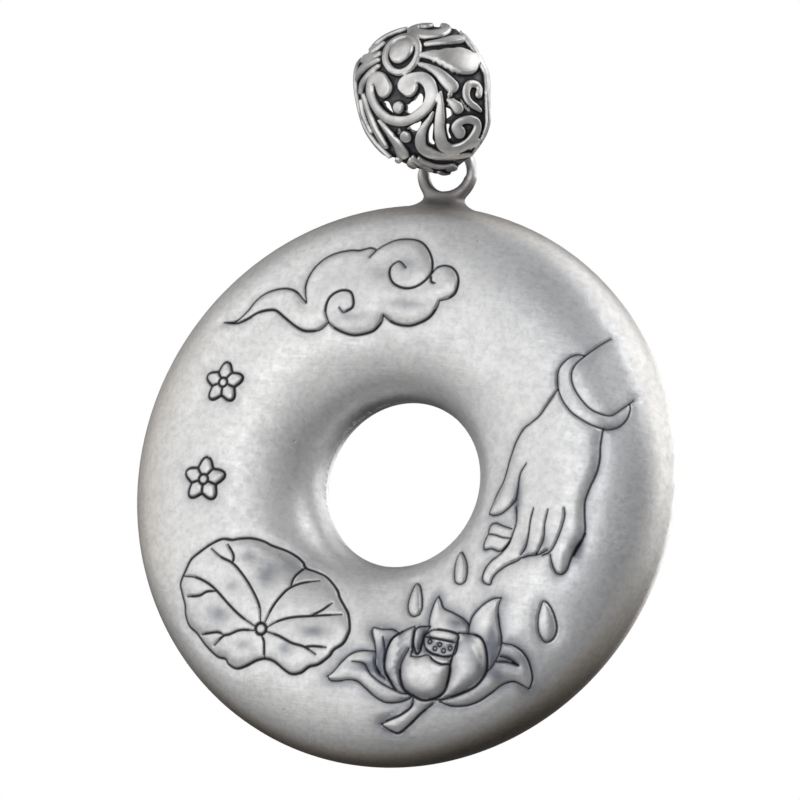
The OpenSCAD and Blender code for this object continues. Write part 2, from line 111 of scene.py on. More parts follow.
LEAF_EDGE = [
    [-9.2, -5.25], [-8.4, -5.35], [-7.7, -5.6], [-6.8, -5.8], [-6, -6.1], [-5.4, -6.5], [-5.1, -6.9],
    [-4.3, -7.1], [-3.6, -7.35], [-3, -7.8], [-2.5, -8.3], [-2.2, -8.8], [-1.7, -9.4], [-1.25, -10],
    [-0.95, -10.9], [-0.95, -11.4], [-1.2, -12.1], [-1.8, -12.6], [-2.1, -13.1], [-2.8, -13.7],
    [-3.5, -13.95], [-4.1, -14.4], [-4.8, -14.55], [-5.4, -14.3], [-6.2, -13.8], [-6.9, -13.65],
    [-7.6, -13.8], [-8.4, -14.2], [-9.2, -14.45], [-9.9, -14.2], [-10.2, -13.85], [-10.9, -13.7],
    [-11.9, -13], [-12.7, -12.2], [-13.4, -11.7], [-13.75, -11], [-13.85, -10.3], [-14.2, -9.4],
    [-14.35, -8.8], [-14, -7.9], [-13.6, -7.1], [-12.9, -6.5], [-12.1, -5.9], [-11.3, -5.5], [-10.6, -5.5],
    [-10, -5.35],
]
LEAF_VEINS = [
    [[-7.55, -11.1], [-7.8, -10], [-8.6, -8.8], [-9.5, -7.8], [-10.3, -7.15], [-11.2, -6.8],
     [-12.05, -6.25]],
    [[-10.25, -7.2], [-10.3, -6.6], [-10.85, -5.85]],
    [[-7.85, -11.5], [-9, -10.9], [-10, -10.2], [-11.2, -9.2], [-12, -8.7], [-13, -8.35], [-14, -8.3]],
    [[-11.2, -9.2], [-12, -9.3], [-12.6, -9.6], [-13.6, -9.7]],
    [[-7.85, -11.75], [-9, -11.8], [-9.9, -12.15], [-10.4, -12.3], [-11.1, -12.95]],
    [[-10.4, -12.2], [-10.9, -12.05], [-12.2, -12.25]],
    [[-7.4, -12], [-7.1, -12.5], [-7, -13.6]],
    [[-7.05, -11.75], [-6, -12], [-5, -12.4], [-4, -12.6], [-3.1, -13.05]],
    [[-4, -12.6], [-3.3, -12.5], [-2.4, -12.5]],
    [[-7, -11.45], [-6.2, -10.95], [-5.2, -10.6], [-4, -10.4], [-2.7, -10.2], [-1.7, -10.05]],
    [[-3.9, -10.35], [-3.2, -9.9], [-2.6, -9.3]],
    [[-7.2, -11.1], [-6.8, -10], [-6.3, -9.1], [-5.8, -8.5], [-5, -8.05], [-3.9, -7.75]],
    [[-5.8, -8.5], [-5.7, -7.7], [-5.1, -6.8]],
]
LEAF_KNOB = [-7.45, -11.6, 0.4]
LOTUS_LINES = [
    [[3.75, -12.1], [3.4, -12.9], [3.3, -13.6], [3.45, -14.4], [3.8, -15], [4.4, -15.3], [5.2, -15.5],
     [6, -15.3], [6.6, -14.8], [6.85, -14], [6.9, -13], [6.3, -12.95], [5.7, -12.75], [5.2, -12.4],
     [4.6, -12.6], [4, -12.6]],
    [[7.3, -10.7], [8.3, -10.7], [9, -10.95], [9.4, -11.7], [9.55, -12.7], [9.4, -13.4], [8.8, -14.2],
     [7.8, -14.8], [6.6, -15.3], [6, -15.4]],
    [[7.3, -10.7], [7.2, -11.5], [6.95, -12.6], [6.9, -13.6], [6.7, -14.6]],
    [[3.9, -10.45], [3.2, -10.8], [2.5, -11.4], [2.2, -12.1], [2.1, -12.8], [2.2, -13.7], [2.7, -14.5],
     [3.3, -15.1], [3.9, -15.2]],
    [[3.9, -10.45], [4, -11.3], [4.05, -12.2], [4, -12.6]],
    [[5.1, -10.4], [4.6, -10.4], [4.1, -10.6], [4.05, -11.3], [4.15, -12], [4.5, -12.4], [4.65, -11.5],
     [4.75, -10.9], [5.1, -10.4]],
    [[4.75, -11], [5.3, -10.65], [6.2, -10.6], [7.2, -10.8], [7.3, -11.3], [7.2, -12.1], [6.6, -12.4],
     [5.6, -12.3], [5, -12], [4.7, -11.4], [4.75, -11]],
    [[4.75, -11.1], [5.4, -11.2], [6.4, -11.3], [7.25, -11.4]],
    [[4.4, -15.4], [4.3, -16], [3.6, -16.6], [2.6, -17.1], [2.1, -17.4]],
    [[2.1, -17.4], [2.9, -17.8], [3.4, -17.85], [4.2, -17.2], [5, -16.4], [5.8, -15.7]],
]
FAR_LINES = [
    [[-2.05, -14.5], [-1.6, -14.1], [-1.1, -13.4], [-0.5, -12.8], [0.2, -12.5], [1.2, -12.45]],
    [[1.4, -13.3], [1.7, -13.9], [2.3, -14.3]],
    [[-2.05, -14.5], [-1.8, -14.75], [-1.2, -14.75], [-0.5, -14.6], [0.2, -14.65], [0.9, -15.1],
     [1.6, -15.6], [2.4, -15.9], [3.4, -15.8], [4.1, -15.5], [4.4, -15.2]],
    [[-0.3, -13.3], [0.6, -13.4], [1.2, -14.1], [2.2, -14.7], [3.6, -15.2]],
    [[0.85, -10.75], [0.75, -11.1], [1.1, -11.8], [1.35, -12.6], [1.45, -13.4], [1.9, -14]],
    [[0.85, -10.75], [1.5, -10.85], [2.3, -10.8], [2.75, -11]],
    [[1.7, -11.4], [2, -12.3], [2.05, -13.2]],
    [[5.2, -8.15], [5, -8.6], [4.9, -9.4], [4.9, -10], [5, -10.5]],
    [[5.2, -8.15], [5.45, -8.5], [5.8, -9], [6.6, -9.3], [7.5, -9.7], [7.9, -10.1], [8, -10.7]],
    [[10, -8], [9.4, -8.1], [8.7, -8.6], [8.1, -9.4], [7.95, -10], [8, -10.6]],
    [[10, -8], [9.9, -8.8], [10.1, -9.8], [10.4, -10.9], [10.3, -11.8], [9.9, -12.7], [9.5, -13.2]],
    [[10.4, -11.1], [11.1, -11.15], [11.7, -11.4], [12.2, -11.9], [12.5, -12.6], [12.6, -13.3],
     [12.4, -13.95]],
    [[12.4, -13.95], [11.8, -13.7], [11.3, -13.6], [10.6, -13.9], [9.8, -14.6], [9, -15.2], [8.2, -15.55],
     [7.2, -15.7], [6.3, -15.5]],
    [[10.2, -12.4], [11, -12.35], [11.7, -12.5], [11, -12.1], [10.4, -12]],
]
SEEDS = [[5.2, -11.45], [5.65, -11.9], [5.95, -11.6], [6.3, -12], [6.75, -11.8]]
SEED_R = 0.14
HAND_LINES = [
    [[14.9, 10.9], [14.2, 10.2], [13.4, 9.3], [13, 8.7], [12.85, 8], [13.1, 7.2], [13.7, 6.4], [14.5, 5.7],
     [15.3, 5.4], [16, 5.4], [16.6, 6], [17.2, 6.7]],
    [[13.5, 9.45], [12.9, 9.45], [12.3, 9], [11.9, 8.3], [11.9, 7.5], [12.1, 6.8], [12.6, 6], [13.3, 5.3],
     [14.2, 4.8], [15, 4.5], [15.9, 4.4], [16.6, 4.7], [17, 5.3], [17.1, 6], [17, 6.4]],
    [[12, 6.8], [11.6, 6.1], [11, 5], [10.4, 4.4], [9.8, 3.9], [9.3, 3], [9, 2], [8.8, 1], [8.6, 0.2],
     [8.2, -0.6], [8, -1.2], [7.8, -2]],
    [[7.8, -2.05], [8.3, -2.15], [9, -1.9], [9.7, -1.2], [9.95, -0.5], [10, 0.3], [10.1, 0.9], [10.45, 1.5]],
    [[8.1, -3.5], [8.1, -2.9], [8.5, -2.7], [9.2, -2.9], [10, -3.1]],
    [[8.1, -3.5], [8.8, -3.6], [9.4, -3.75], [10.05, -3.8]],
    [[8.1, -3.5], [7.9, -4.1], [8, -4.6], [8.6, -4.55], [9.3, -4.7], [9.8, -4.3], [10.05, -3.9]],
    [[9.95, -1.5], [10.2, -2.4], [10.2, -3.1], [10, -4.2], [9.4, -4.9], [8.8, -5.4], [8.4, -6],
     [8.3, -6.6], [8.5, -7], [9, -7.1], [9.1, -6.7], [9.4, -6.2], [10, -5.7], [10.8, -5.3], [11, -5.1]],
    [[11.5, -1.6], [11.4, -2.4], [11.4, -3.4], [11.3, -4.3], [11, -4.9]],
    [[12.6, -1.6], [12.5, -2.6], [12.55, -3.6], [12.3, -4.4], [12.1, -4.7]],
    [[13.75, -1.4], [13.85, -2], [13.7, -3], [13.4, -4], [13.1, -4.5], [12.6, -4.8]],
    [[11, -5.1], [11.6, -4.9], [12.3, -4.75], [12.9, -4.4]],
    [[13.15, -4.7], [13.3, -5.2], [13.6, -5.8], [14, -6], [14.4, -5.7], [14.6, -4.9], [14.9, -4],
     [15.3, -3.3], [15.4, -3]],
    [[15.6, 4.3], [15.6, 3.2], [15.7, 2.2], [15.6, 1.2], [15.3, 0.2], [15.1, -0.8], [15.2, -1.8],
     [15.35, -2.8], [15.2, -3.6], [14.8, -4.6]],
]
DROP_EDGES = [
    [[3.15, -7.3], [3, -7.8], [2.95, -8.6], [3.1, -9.3], [3.5, -9.7], [3.95, -9.6], [4.1, -9.1],
     [3.9, -8.3], [3.5, -7.5]],
    [[6, -4.85], [5.85, -5.5], [5.95, -6.3], [6.2, -7], [6.6, -7.2], [6.95, -7], [7, -6.4], [6.75, -5.6],
     [6.3, -5]],
    [[13.05, -7.95], [12.85, -8.6], [12.8, -9.4], [12.95, -10.2], [13.4, -10.7], [13.9, -10.4],
     [14.1, -9.7], [13.9, -8.9], [13.5, -8.2]],
]
# Generic blossoms that fill the field on the left: [x, z, radius]
BLOSSOMS = [[-13, 5.6, 1.5], [-13.4, -1.4, 1.6]]
# Their petals, and as shares of the radius: their edge and its wave, their heart and the spokes' places
PETALS = 5
BLOSSOM_EDGE = 0.82
BLOSSOM_WAVE = 0.18
BLOSSOM_HEART = 0.22
BLOSSOM_SPOKE = (0.24, 0.45, 0.64)

# Outlines of what stands up from the face
CLOUD = [
    [-14, 10.05], [-12.9, 10.25], [-12.2, 10.9], [-11.6, 11.8], [-10.8, 12.4], [-9.6, 12.7], [-8.6, 12.5],
    [-7.6, 11.7], [-7.9, 12.9], [-7.7, 14], [-7.1, 14.9], [-6.2, 15.5], [-5, 15.8], [-3.6, 16.05],
    [-3.1, 15.9], [-2.6, 16.3], [-1.8, 16.75], [-0.8, 16.9], [0.1, 16.75], [0.8, 16.2], [1.3, 15.4],
    [1.45, 14.4], [1.8, 14.9], [2.3, 15.1], [2.9, 14.95], [3.4, 14.5], [3.55, 13.8], [3.4, 13.1],
    [2.4, 12.5], [2, 11.6], [1.2, 10.9], [0.4, 10.6], [-0.5, 10.6], [-1.7, 11.2], [-2.3, 10.1],
    [-3.1, 9.75], [-4, 9.65], [-5, 9.95], [-5.7, 10.4], [-6.5, 9.75], [-7.4, 9.7], [-8.3, 10.05],
    [-9.8, 11], [-10.8, 11], [-12.1, 10.3],
]
HAND = [
    [14.9, 10.9], [13.5, 9.45], [12.5, 9.2], [11.9, 8.3], [12.05, 6.8], [11, 5], [9.8, 3.9], [9, 2],
    [8.6, 0.2], [7.8, -2.05], [9, -1.9], [9.95, -0.9], [10.1, -2.8], [8.5, -2.7], [8, -3.2], [7.9, -4.5],
    [9.3, -4.7], [8.5, -5.8], [8.4, -6.9], [9, -7.1], [9.6, -6], [11, -5.1], [12.9, -4.5], [13.3, -5.2],
    [14, -6], [14.6, -4.9], [15.3, -3.1], [15.1, -0.8], [15.7, 2.2], [15.6, 4.4], [16.7, 4.8], [17.1, 6],
    [16.6, 7.6], [15.9, 9.4],
]
FAR_PETALS = [
    [[5.2, -8.15], [4.9, -9.2], [4.9, -10.4], [5.6, -11.4], [7.4, -11.4], [8.1, -10.5], [7.6, -9.7],
     [5.8, -9]],
    [[10, -8], [8.7, -8.6], [8, -9.8], [8, -10.8], [9.3, -13.2], [10.1, -12.2], [10.4, -10.9], [10, -9.4]],
    [[0.85, -10.75], [1.1, -11.8], [1.4, -13.2], [2.3, -14.4], [3, -12.6], [2.9, -11.1], [2.3, -10.8]],
    [[-2.05, -14.5], [-1.1, -13.4], [-0.4, -12.75], [1.2, -12.45], [2, -13.9], [4.2, -15.3], [3.4, -15.8],
     [2.3, -15.9], [0.9, -15.1], [0.2, -14.65], [-1.3, -14.75]],
    [[10.4, -11.1], [11.7, -11.4], [12.5, -12.6], [12.4, -13.95], [11.3, -13.6], [9.8, -14.6],
     [8.2, -15.55], [6.5, -15.6], [8, -14.6], [9.6, -12.9]],
    [[4.4, -15.3], [4.2, -16], [2.1, -17.4], [3.4, -17.85], [4.4, -17], [5.9, -15.5]],
]
NEAR_PETALS = [
    [[3.75, -12.1], [3.3, -13.4], [3.5, -14.5], [4.4, -15.3], [5.3, -15.5], [6.4, -15], [6.9, -13.8],
     [6.95, -12.6], [5.2, -12.3]],
    [[7.3, -10.7], [8.9, -10.9], [9.5, -12], [9.4, -13.3], [8.2, -14.6], [6.3, -15.4], [6.9, -13.9],
     [7, -12.2]],
    [[4.6, -10.4], [3.2, -10.8], [2.2, -12.1], [2.2, -13.7], [3.3, -15.1], [3.9, -15.1], [3.4, -13.9],
     [3.7, -12.3], [4.4, -12.2]],
]
# Soft hollows: [x, z, half width, half height, depth, how much painted shade], and how much their painted
# shade counts
DENTS = [
    [-0.4, 15, 0.9, 0.5, 0.05, 0.3], [-2.3, 14.2, 0.7, 0.6, 0.05, 0.25], [0, 12.1, 1.4, 0.4, 0.05, 0.35],
    [-4, 10.9, 1.2, 0.35, 0.05, 0.35], [-7.7, -7.6, 0.8, 1.1, 0.08, 0.5],
    [-10.9, -10.8, 0.9, 0.6, 0.08, 0.5], [-3.5, -11.4, 1.1, 0.5, 0.07, 0.5],
    [-9.1, -6.5, 0.6, 0.5, 0.06, 0.4], [-5.9, -6.8, 1.2, 0.9, 0.05, 0.3],
    [-10, -8.7, 0.5, 0.5, 0.05, 0.35], [-8.7, -12.8, 0.6, 0.4, 0.05, 0.35],
    [-5.5, -12.8, 0.5, 0.5, 0.06, 0.45], [10, -0.6, 0.5, 1.2, 0.08, 0.5],
    [15.1, -4.3, 0.5, 0.9, 0.05, 0.5], [6.9, -10, 0.7, 0.4, 0.05, 0.55], [4.6, -11.4, 0.4, 0.9, 0.05, 0.3],
    [2, -12.5, 0.4, 1.2, 0.05, 0.6], [9.7, -10.7, 0.35, 1.3, 0.05, 0.6],
    [11.2, -12.2, 0.9, 0.5, 0.05, 0.55], [10.3, -13.3, 0.6, 0.5, 0.05, 0.5],
    [0.7, -13.6, 1, 0.4, 0.05, 0.6], [11.2, -4.2, 0.4, 0.7, 0.05, 0.4], [12.7, -4, 0.4, 0.6, 0.04, 0.4],
]
DENT_PAINTED_SHADE = 1.5
# What stands up: its outlines, their rise, the width of their rounded shoulder and their halo of painted
# shade
RAISED = (([CLOUD], 0.1, 0.8, 0.12), ([LEAF_EDGE], 0.09, 0.7, 0.1), ([HAND], 0.16, 0.9, 0.35),
          (FAR_PETALS, 0.14, 0.6, 0.6), (NEAR_PETALS, 0.27, 0.9, 0.5), (DROP_EDGES, 0.12, 0.35, 0.15))
BLOSSOM_FORM = (0.1, 0.4, 0.15)
# The way along which the arm's sleeve end fades into the ring, and from where to where
ARM_WAY = (0.8, 0.6)
ARM_FADE = (15.2, 17.9)
# The dip of the ground round what stands up
DIP_DEPTH = 0.04
DIP_W = 0.6
# Engraved lines: half width and depth of the widest, and how far in from their outline their sides and
# their ink begin and end
LINE_HALF = 0.085
GROOVE = 0.1
GROOVE_SIDE = (-0.05, 0.06)
INK_SIDE = (-0.045, 0.02)
# The soft roll of the metal beside them
ROLL_DEPTH = 0.05
ROLL_W = 0.4
# Their widths, as shares of the widest
OPEN_LINES = ((CLOUD_LINES, 0.68), (LEAF_VEINS, 0.66), (LOTUS_LINES, 0.66), (FAR_LINES, 0.46),
              (HAND_LINES, 0.62))
LEAF_WIDE = 0.78
DROP_WIDE = 0.52
BLOSSOM_WIDE = 0.8
SEED_WIDE = 0.6
# Width of an open line's tips, what its middle has more, and the share of its length on which it widens
TIP_WIDE = 0.55
TIP_GAIN = 0.45
TIP_SHARE = 0.16

# Scroll bail, in millimetres and degrees: half height and depths of its hoop, its place and its skew
HOOP_A = 5.35
HOOP_FRONT = 3.75
HOOP_BACK = 3.2
HOOP_FORE = 0.75
HOOP_Z = 5.14
HOOP_SKEW = 0.17
# How its shell is crowned: the radius, and the shares of its drop that come off the depth and the height
CROWN_R = 5.5
DROP_DEPTH = 0.8
DROP_HEIGHT = 0.65
# How it hangs in the eye
LEAN = math.radians(22)
TURN = math.radians(10)
SHIFT = 0.6
# How far its pattern is turned, for each millimetre to the right and in all
PATTERN_TWIST = 1.89
PATTERN_START = 2
# Its thickness, and what is added round the bottom, where the eye bears
SHELL_T = 0.6
BEARING_EXTRA = 0.35
BEARING_SPAN = 26
# Height of the scrolls and of the ground between them
SCROLL_H = 0.43
GROUND_H = 0.12
# How much higher a wide scroll's middle is than its edge, and how far in it gets there
CROWN_H = 0.06
CROWN_W = 0.45
# Where a scroll's side starts and ends, measured in from its outline
FOOT = -0.05
BROW = 0.06
# How much the shell's left side is filed back, at what angle and how far round, for the eye to swing past
FILED = 0.14
FILED_AT = 163
FILED_SPAN = 8
# Angles between which the ground and then the whole relief get lower, for the eye to swing past, and the
# share of the relief that goes
GROUND_SINKS = (126, 146)
RELIEF_SINKS = (140, 162)
SINK_SHARE = 0.6
# Where the plain strap at the back fades in, and how far before the top it fades out again
STRAP_START = (190, 205)
STRAP_END = (24, 40)
# Pitch of the shell's points and how far they stay in from its edge
SHELL_PITCH = 0.22
EDGE_ROOM = 0.07
# Half widths of the shell: [angle from the top towards the front, left, right]
SIDES = [
    [0, 4.5, 2.9], [12, 4.65, 3.2], [24, 4.75, 3.65], [36, 4.8, 4.15], [48, 4.85, 4.55], [60, 4.85, 4.85],
    [84, 4.8, 5.1], [100, 4.7, 5.05], [120, 4.1, 4.85], [132, 3.55, 4.7], [144, 2.95, 4.5],
    [156, 2.15, 3.95], [166, 1.5, 2.4], [173, 1.3, 0.5], [180, 1.25, 0.05], [212, 1.3, 0.05],
    [226, 1.1, 0.5], [240, 0.5, 1.4], [254, 0.2, 1.8], [276, 0.15, 2], [292, 0.4, 2], [308, 1.9, 2.2],
    [322, 3.3, 2.5], [342, 4.15, 2.7], [360, 4.5, 2.9],
]
# Scrolls as strokes: rows of [x, angle round the hoop, width]
RIGHT_CURL = [
    [0.4, 87, 1.3], [0.05, 83.5, 1], [0.25, 80.5, 0.75], [0.8, 80.7, 0.75], [1.42, 83, 0.85],
    [1.78, 88.5, 0.9], [1.84, 94.5, 0.9], [1.72, 100, 0.88], [1.3, 105.2, 0.8], [0.6, 108.3, 0.72],
    [-0.25, 109.4, 0.68], [-1.05, 107.5, 0.68], [-1.78, 103, 0.68], [-2.3, 96.5, 0.7], [-2.6, 89.5, 0.68],
    [-2.83, 81.5, 0.68], [-2.9, 74, 0.72], [-2.65, 67.5, 0.8], [-2.15, 66.8, 0.95], [-1.75, 71.5, 1.15],
    [-1.55, 79, 1.3],
]
SPIRAL_STEM = [
    [2.4, 98.5, 0.22], [2.15, 108.5, 0.52], [1.88, 116.5, 0.7], [1.57, 124, 0.74], [1.32, 132.5, 0.84],
    [1.25, 139.5, 0.88], [1.6, 146.8, 0.78], [2.35, 150, 0.72], [3.1, 148.3, 0.66], [3.67, 142.5, 0.58],
    [3.84, 135.8, 0.56], [3.58, 129.8, 0.52], [3.05, 127.2, 0.48], [2.56, 129.8, 0.62], [2.64, 135.2, 0.88],
]
TIP_STEM = [
    [1.5, 111.5, 0.2], [1.15, 115, 0.36], [0.5, 119.5, 0.52], [0, 125.5, 0.76], [-0.25, 132.5, 0.82],
    [0, 140, 0.8], [0.55, 147.5, 0.62], [1.3, 155, 0.52], [1.95, 160, 0.45], [2.3, 162.5, 0.35],
]
TOP_CURL = [
    [2.5, 17, 0.5], [2.9, 28, 0.65], [2.7, 37, 0.8], [2.15, 40, 0.85], [1.55, 38.5, 0.85],
    [0.9, 33.5, 0.85], [0.6, 24, 0.8], [0.95, 16.5, 0.7], [1.5, 20, 0.8],
]
SIDE_CURL = [
    [4.43, 109.5, 0.46], [4.54, 104, 0.38], [4.45, 98.8, 0.42], [4.15, 97.3, 0.5], [3.9, 102, 0.5],
    [3.79, 108.5, 0.5], [3.87, 114.7, 0.48], [4.12, 121, 0.38], [4.27, 126, 0.22],
]
SCROLLS = [
    RIGHT_CURL, SPIRAL_STEM, TIP_STEM, TOP_CURL, SIDE_CURL,
    [[1.85, 52.5, 0.32], [2.5, 51.7, 0.42], [3.1, 49.5, 0.6], [3.6, 45.5, 0.72], [3.9, 42.5, 0.62]],
    [[1.65, 63.5, 0.38], [2.3, 65.2, 0.75], [2.9, 67.5, 1.2], [3.45, 70, 1.65], [3.9, 71.8, 1.95],
     [4.15, 72.5, 1.85]],
    [[1.42, 71.3, 0.3], [2.05, 76.4, 0.46], [2.58, 83, 0.68], [2.92, 90.5, 0.88], [3.15, 96, 0.92]],
    [[2.72, 106.5, 0.28], [2.94, 110.8, 0.6], [3.12, 115.2, 0.82]],
    [[2.75, 155, 0.4], [3.35, 153, 0.45]],
    [[-3.68, 72, 0.35], [-3.6, 80, 0.42], [-3.5, 92, 0.46], [-3.38, 106, 0.5], [-3.12, 122, 0.55]],
    [[-4.2, 74, 0.35], [-4.3, 85, 0.45], [-4.15, 96, 0.4], [-3.95, 106, 0.3]],
    [[-2.72, 100, 0.22], [-2.48, 106, 0.34], [-2.15, 116.5, 0.52], [-1.97, 125, 0.75], [-2, 133, 0.95]],
    [[-1.65, 141, 0.3], [-1.9, 146.5, 0.6], [-1.95, 151, 0.55]],
    [[-1.35, 139, 0.22], [-1.3, 147, 0.4], [-1.2, 155, 0.48], [-1.05, 163, 0.45]],
    [[-0.95, 142, 0.25], [-0.75, 150, 0.45], [-0.4, 157.5, 0.5], [0.1, 162.5, 0.45], [0.8, 165.5, 0.4]],
    [[-0.1, 19, 0.4], [-0.9, 16.5, 0.7], [-1.75, 16.5, 0.85], [-2.35, 21, 0.7], [-2.55, 26, 0.45]],
    [[-1.5, 33.5, 0.3], [-2, 34, 0.5], [-2.45, 31.5, 0.6], [-2.75, 27.5, 0.4]],
    [[-1.7, 45, 0.35], [-2.3, 43.5, 0.5], [-2.9, 38.5, 0.65], [-3.45, 32, 0.6]],
    [[-1.8, 51, 0.28], [-2.55, 49, 0.4], [-3.3, 45.5, 0.55], [-3.9, 44, 0.55], [-4.3, 44, 0.4]],
    [[-1.8, 57.5, 0.3], [-2.4, 58, 0.42], [-3.05, 59.5, 0.5], [-3.65, 61.5, 0.5], [-3.95, 66, 0.35]],
    [[-0.6, 170, 0.4], [-0.55, 180, 0.5], [-0.6, 192, 0.45]],
    [[0.2, 170, 0.4], [0.8, 169.5, 0.45]],
    [[0, -12, 0.5], [0, -24, 0.7], [0, -36, 0.8], [0, -48, 0.45]],
]
STRAP_CURL = [[1, -12, 0.35], [1.7, -20, 0.55], [1.9, -31, 0.6], [1.4, -40, 0.45], [1, -34, 0.35]]
SCROLLS += [[[side * x, q, w] for x, q, w in STRAP_CURL] for side in (1, -1)]
# Beads between the scrolls: [x, angle, width]
BEADS = [[-0.78, 97.5, 0.84], [-1.07, 120.3, 0.82], [2.9, 102.6, 0.32], [-2.65, 139.5, 0.5]]
# The boss and the ring round it: [x, angle, half width, half height in degrees, lean, width of the line]
BOSS = [[0.08, 54.5, 1.28, 18.5, 2.5, 0.48], [0.1, 52.8, 0.55, 7.5, 0, 0.72], [0.1, 52.8, 0.2, 2.7, 0, 0.6]]
# Plain rims of the shell's sides: [first angle, last angle, side, inset, width]
RIMS = [[30, 165, 1, 0.12, 0.4], [0, 135, -1, 0.14, 0.45]]
# Gaps pierced through the shell: outlines of [x, angle]
GAPS = [
    [[-2.45, 86], [-2.05, 87], [-1.6, 90], [-1.5, 96.5], [-1.45, 101.5], [-1.95, 98.5], [-2.35, 92.5]],
    [[-0.35, 97.3], [0.2, 96.5], [0.8, 92.8], [1.1, 96.5], [0.85, 102.5], [0.4, 105.5], [-0.4, 103.5]],
    [[-0.9, 115], [-0.5, 113.8], [0.35, 113.6], [0.3, 116], [0.05, 118.2], [-0.4, 120]],
    [[0.95, 116], [1.15, 120], [0.88, 126], [0.68, 130], [0.6, 135], [-0.1, 134.5], [-0.1, 127], [0.2, 121]],
    [[2.3, 110.5], [2.65, 114.5], [2.65, 118], [2.3, 119.5], [2.05, 119], [2.15, 115]],
    [[1.82, 124.5], [2.2, 125.5], [1.97, 130], [1.9, 136.5], [1.52, 136], [1.58, 130]],
    [[-2.85, 101], [-2.68, 105.5], [-2.55, 113], [-2.45, 122], [-2.48, 129], [-2.72, 128], [-2.85, 120],
     [-2.92, 110]],
    [[-3.98, 92], [-3.82, 94], [-3.68, 103], [-3.52, 114], [-3.66, 115], [-3.82, 106], [-3.98, 98]],
    [[3.5, 107.5], [3.6, 113], [3.8, 119.5], [3.65, 121.5], [3.5, 117], [3.42, 111.5]],
    [[-1.75, 112], [-1.45, 112.3], [-1.4, 114.5], [-1.6, 117], [-1.8, 121], [-1.88, 117]],
    [[0.85, 159.5], [1.4, 161.5], [1.8, 165.5], [1.35, 165.3], [0.8, 163]],
    [[1.85, 46], [2.4, 45.8], [2.9, 43.5], [3.02, 44.5], [2.6, 48.3], [1.9, 49.5]],
]
# How far each gap is widened on the outer and on the inner side
GAP_OUTER = 1.07
GAP_INNER = 1.2
# How deep the scrolls reach below the shell's skin where they cross a gap
SINK = 0.2

# Camera: where the photograph was taken from, in degrees, millimetres and pixels
AZIMUTH = 22.2
ELEVATION = -8.6
ROLL = math.radians(8.0)
DISTANCE = 520.0
FRAME_PX = 800
CENTRE_PX = (404.0, 484.9)
PX_PER_MM = 14.275
SENSOR = 36.0

# Soft boxes round the piece: [degrees to the right of the front, degrees up, half angle, brightness]
BOXES = [
    [-62, 5, 34, 0.65], [-2, 11, 22, 1.6], [51, 47, 19, 2.05], [119, 38, 49, 1.0], [-113, 15, 42, 0.3],
    [96, -9, 64, 0.27], [-47, 38, 26, 1.0], [-26, -13, 28, 0.8], [-35, -44, 85, 0.3], [153, 85, 36, 0.38],
    [171, 12, 22, 1.9], [6, -22, 18, 0.4], [110, 62, 27, 0.35],
]
# The share of a box that is fully bright, and the room's light from below and from above
BOX_CORE = 0.35
ROOM_LOW = 0.0
ROOM_HIGH = 0.21

# Colours of the silver: dull and bright, what it is multiplied by (a warmer tint, a painted cool shade tint,
# a painted shade), and what lies over it (stains with painted shade, and ink)
DULL_SILVER = (0.74, 0.74, 0.737)
BRIGHT_SILVER = (0.86, 0.858, 0.852)
WARMER_RIM_TINT = (1.0, 0.95, 0.88)
PAINTED_COOL_SHADE_TINT = (0.955, 0.968, 1.0)
PAINTED_SHADE_TINT = (0.56, 0.53, 0.5)
WARM_STAIN_AND_SHADE = (0.37, 0.32, 0.28)
PAINTED_SHADE_AND_STAIN = (0.2, 0.208, 0.245)
INK = (0.03, 0.03, 0.034)
# Depth of its scratches and pits, in metres
MARK_DEPTH = 0.00002


# Curves and points in the plane


def smooth(rows, step=0.1, closed=False):
    """A curve through the rows, with a point about every step."""
    p = np.array(rows, float)
    if closed:
        ends = np.vstack([p[-1:], p, p[:2]])
    else:
        ends = np.vstack([2 * p[0] - p[1], p, 2 * p[-1] - p[-2]])
    out = []
    for a, b, c, d in zip(ends[:-3], ends[1:-2], ends[2:-1], ends[3:]):
        n = max(2, math.ceil(np.linalg.norm((c - b)[:2]) / step))
        t = np.arange(n)[:, None] / n
        out.append(0.5 * (2 * b + (c - a) * t + (2 * a - 5 * b + 4 * c - d) * t ** 2
                          + (3 * b - 3 * c + d - a) * t ** 3))
    out.append(ends[-2][None])
    return np.vstack(out)


def loop(x, y, radius, step=0.1):
    a = np.linspace(0, 2 * math.pi, max(10, math.ceil(2 * math.pi * radius / step)) + 1)
    return np.stack([x + radius * np.sin(a), y + radius * np.cos(a)], 1)


def spread(line, away, step):
    """Points at a distance from a line on both sides, and round its ends."""
    xy = line[:, :2]
    run = np.gradient(xy, axis=0)
    run /= np.maximum(np.linalg.norm(run, axis=1, keepdims=True), 1e-9)
    side = np.stack([-run[:, 1], run[:, 0]], 1)
    out = [xy + side * away[:, None], xy - side * away[:, None]]
    for end, way in ((0, -1), (-1, 1)):
        if away[end] <= 0:
            continue
        n = max(3, int(math.pi * away[end] / step))
        a = np.linspace(-math.pi / 2, math.pi / 2, n + 2)[1:-1, None]
        out.append(xy[end] + away[end] * (np.cos(a) * way * run[end] + np.sin(a) * side[end]))
    return np.vstack(out)


def in_box(points, low, high):
    return np.flatnonzero(((points > low) & (points < high)).all(1))


def within(points, line, reach):
    """How far each point lies within a line of [x, y, width], negative outside it."""
    out = np.full(len(points), -reach)
    far = reach + line[:, 2].max() / 2
    pick = in_box(points, line[:, :2].min(0) - far, line[:, :2].max(0) + far)
    if not len(pick):
        return out
    p = points[pick]
    best = out[pick]
    for a, b in zip(line[:-1], line[1:]):
        ab = b[:2] - a[:2]
        t = np.clip(((p - a[:2]) @ ab) / max(ab @ ab, 1e-12), 0, 1)
        d = np.hypot(*(p - a[:2] - t[:, None] * ab).T)
        np.maximum(best, (a[2] + t * (b[2] - a[2])) / 2 - d, out=best)
    out[pick] = best
    return out


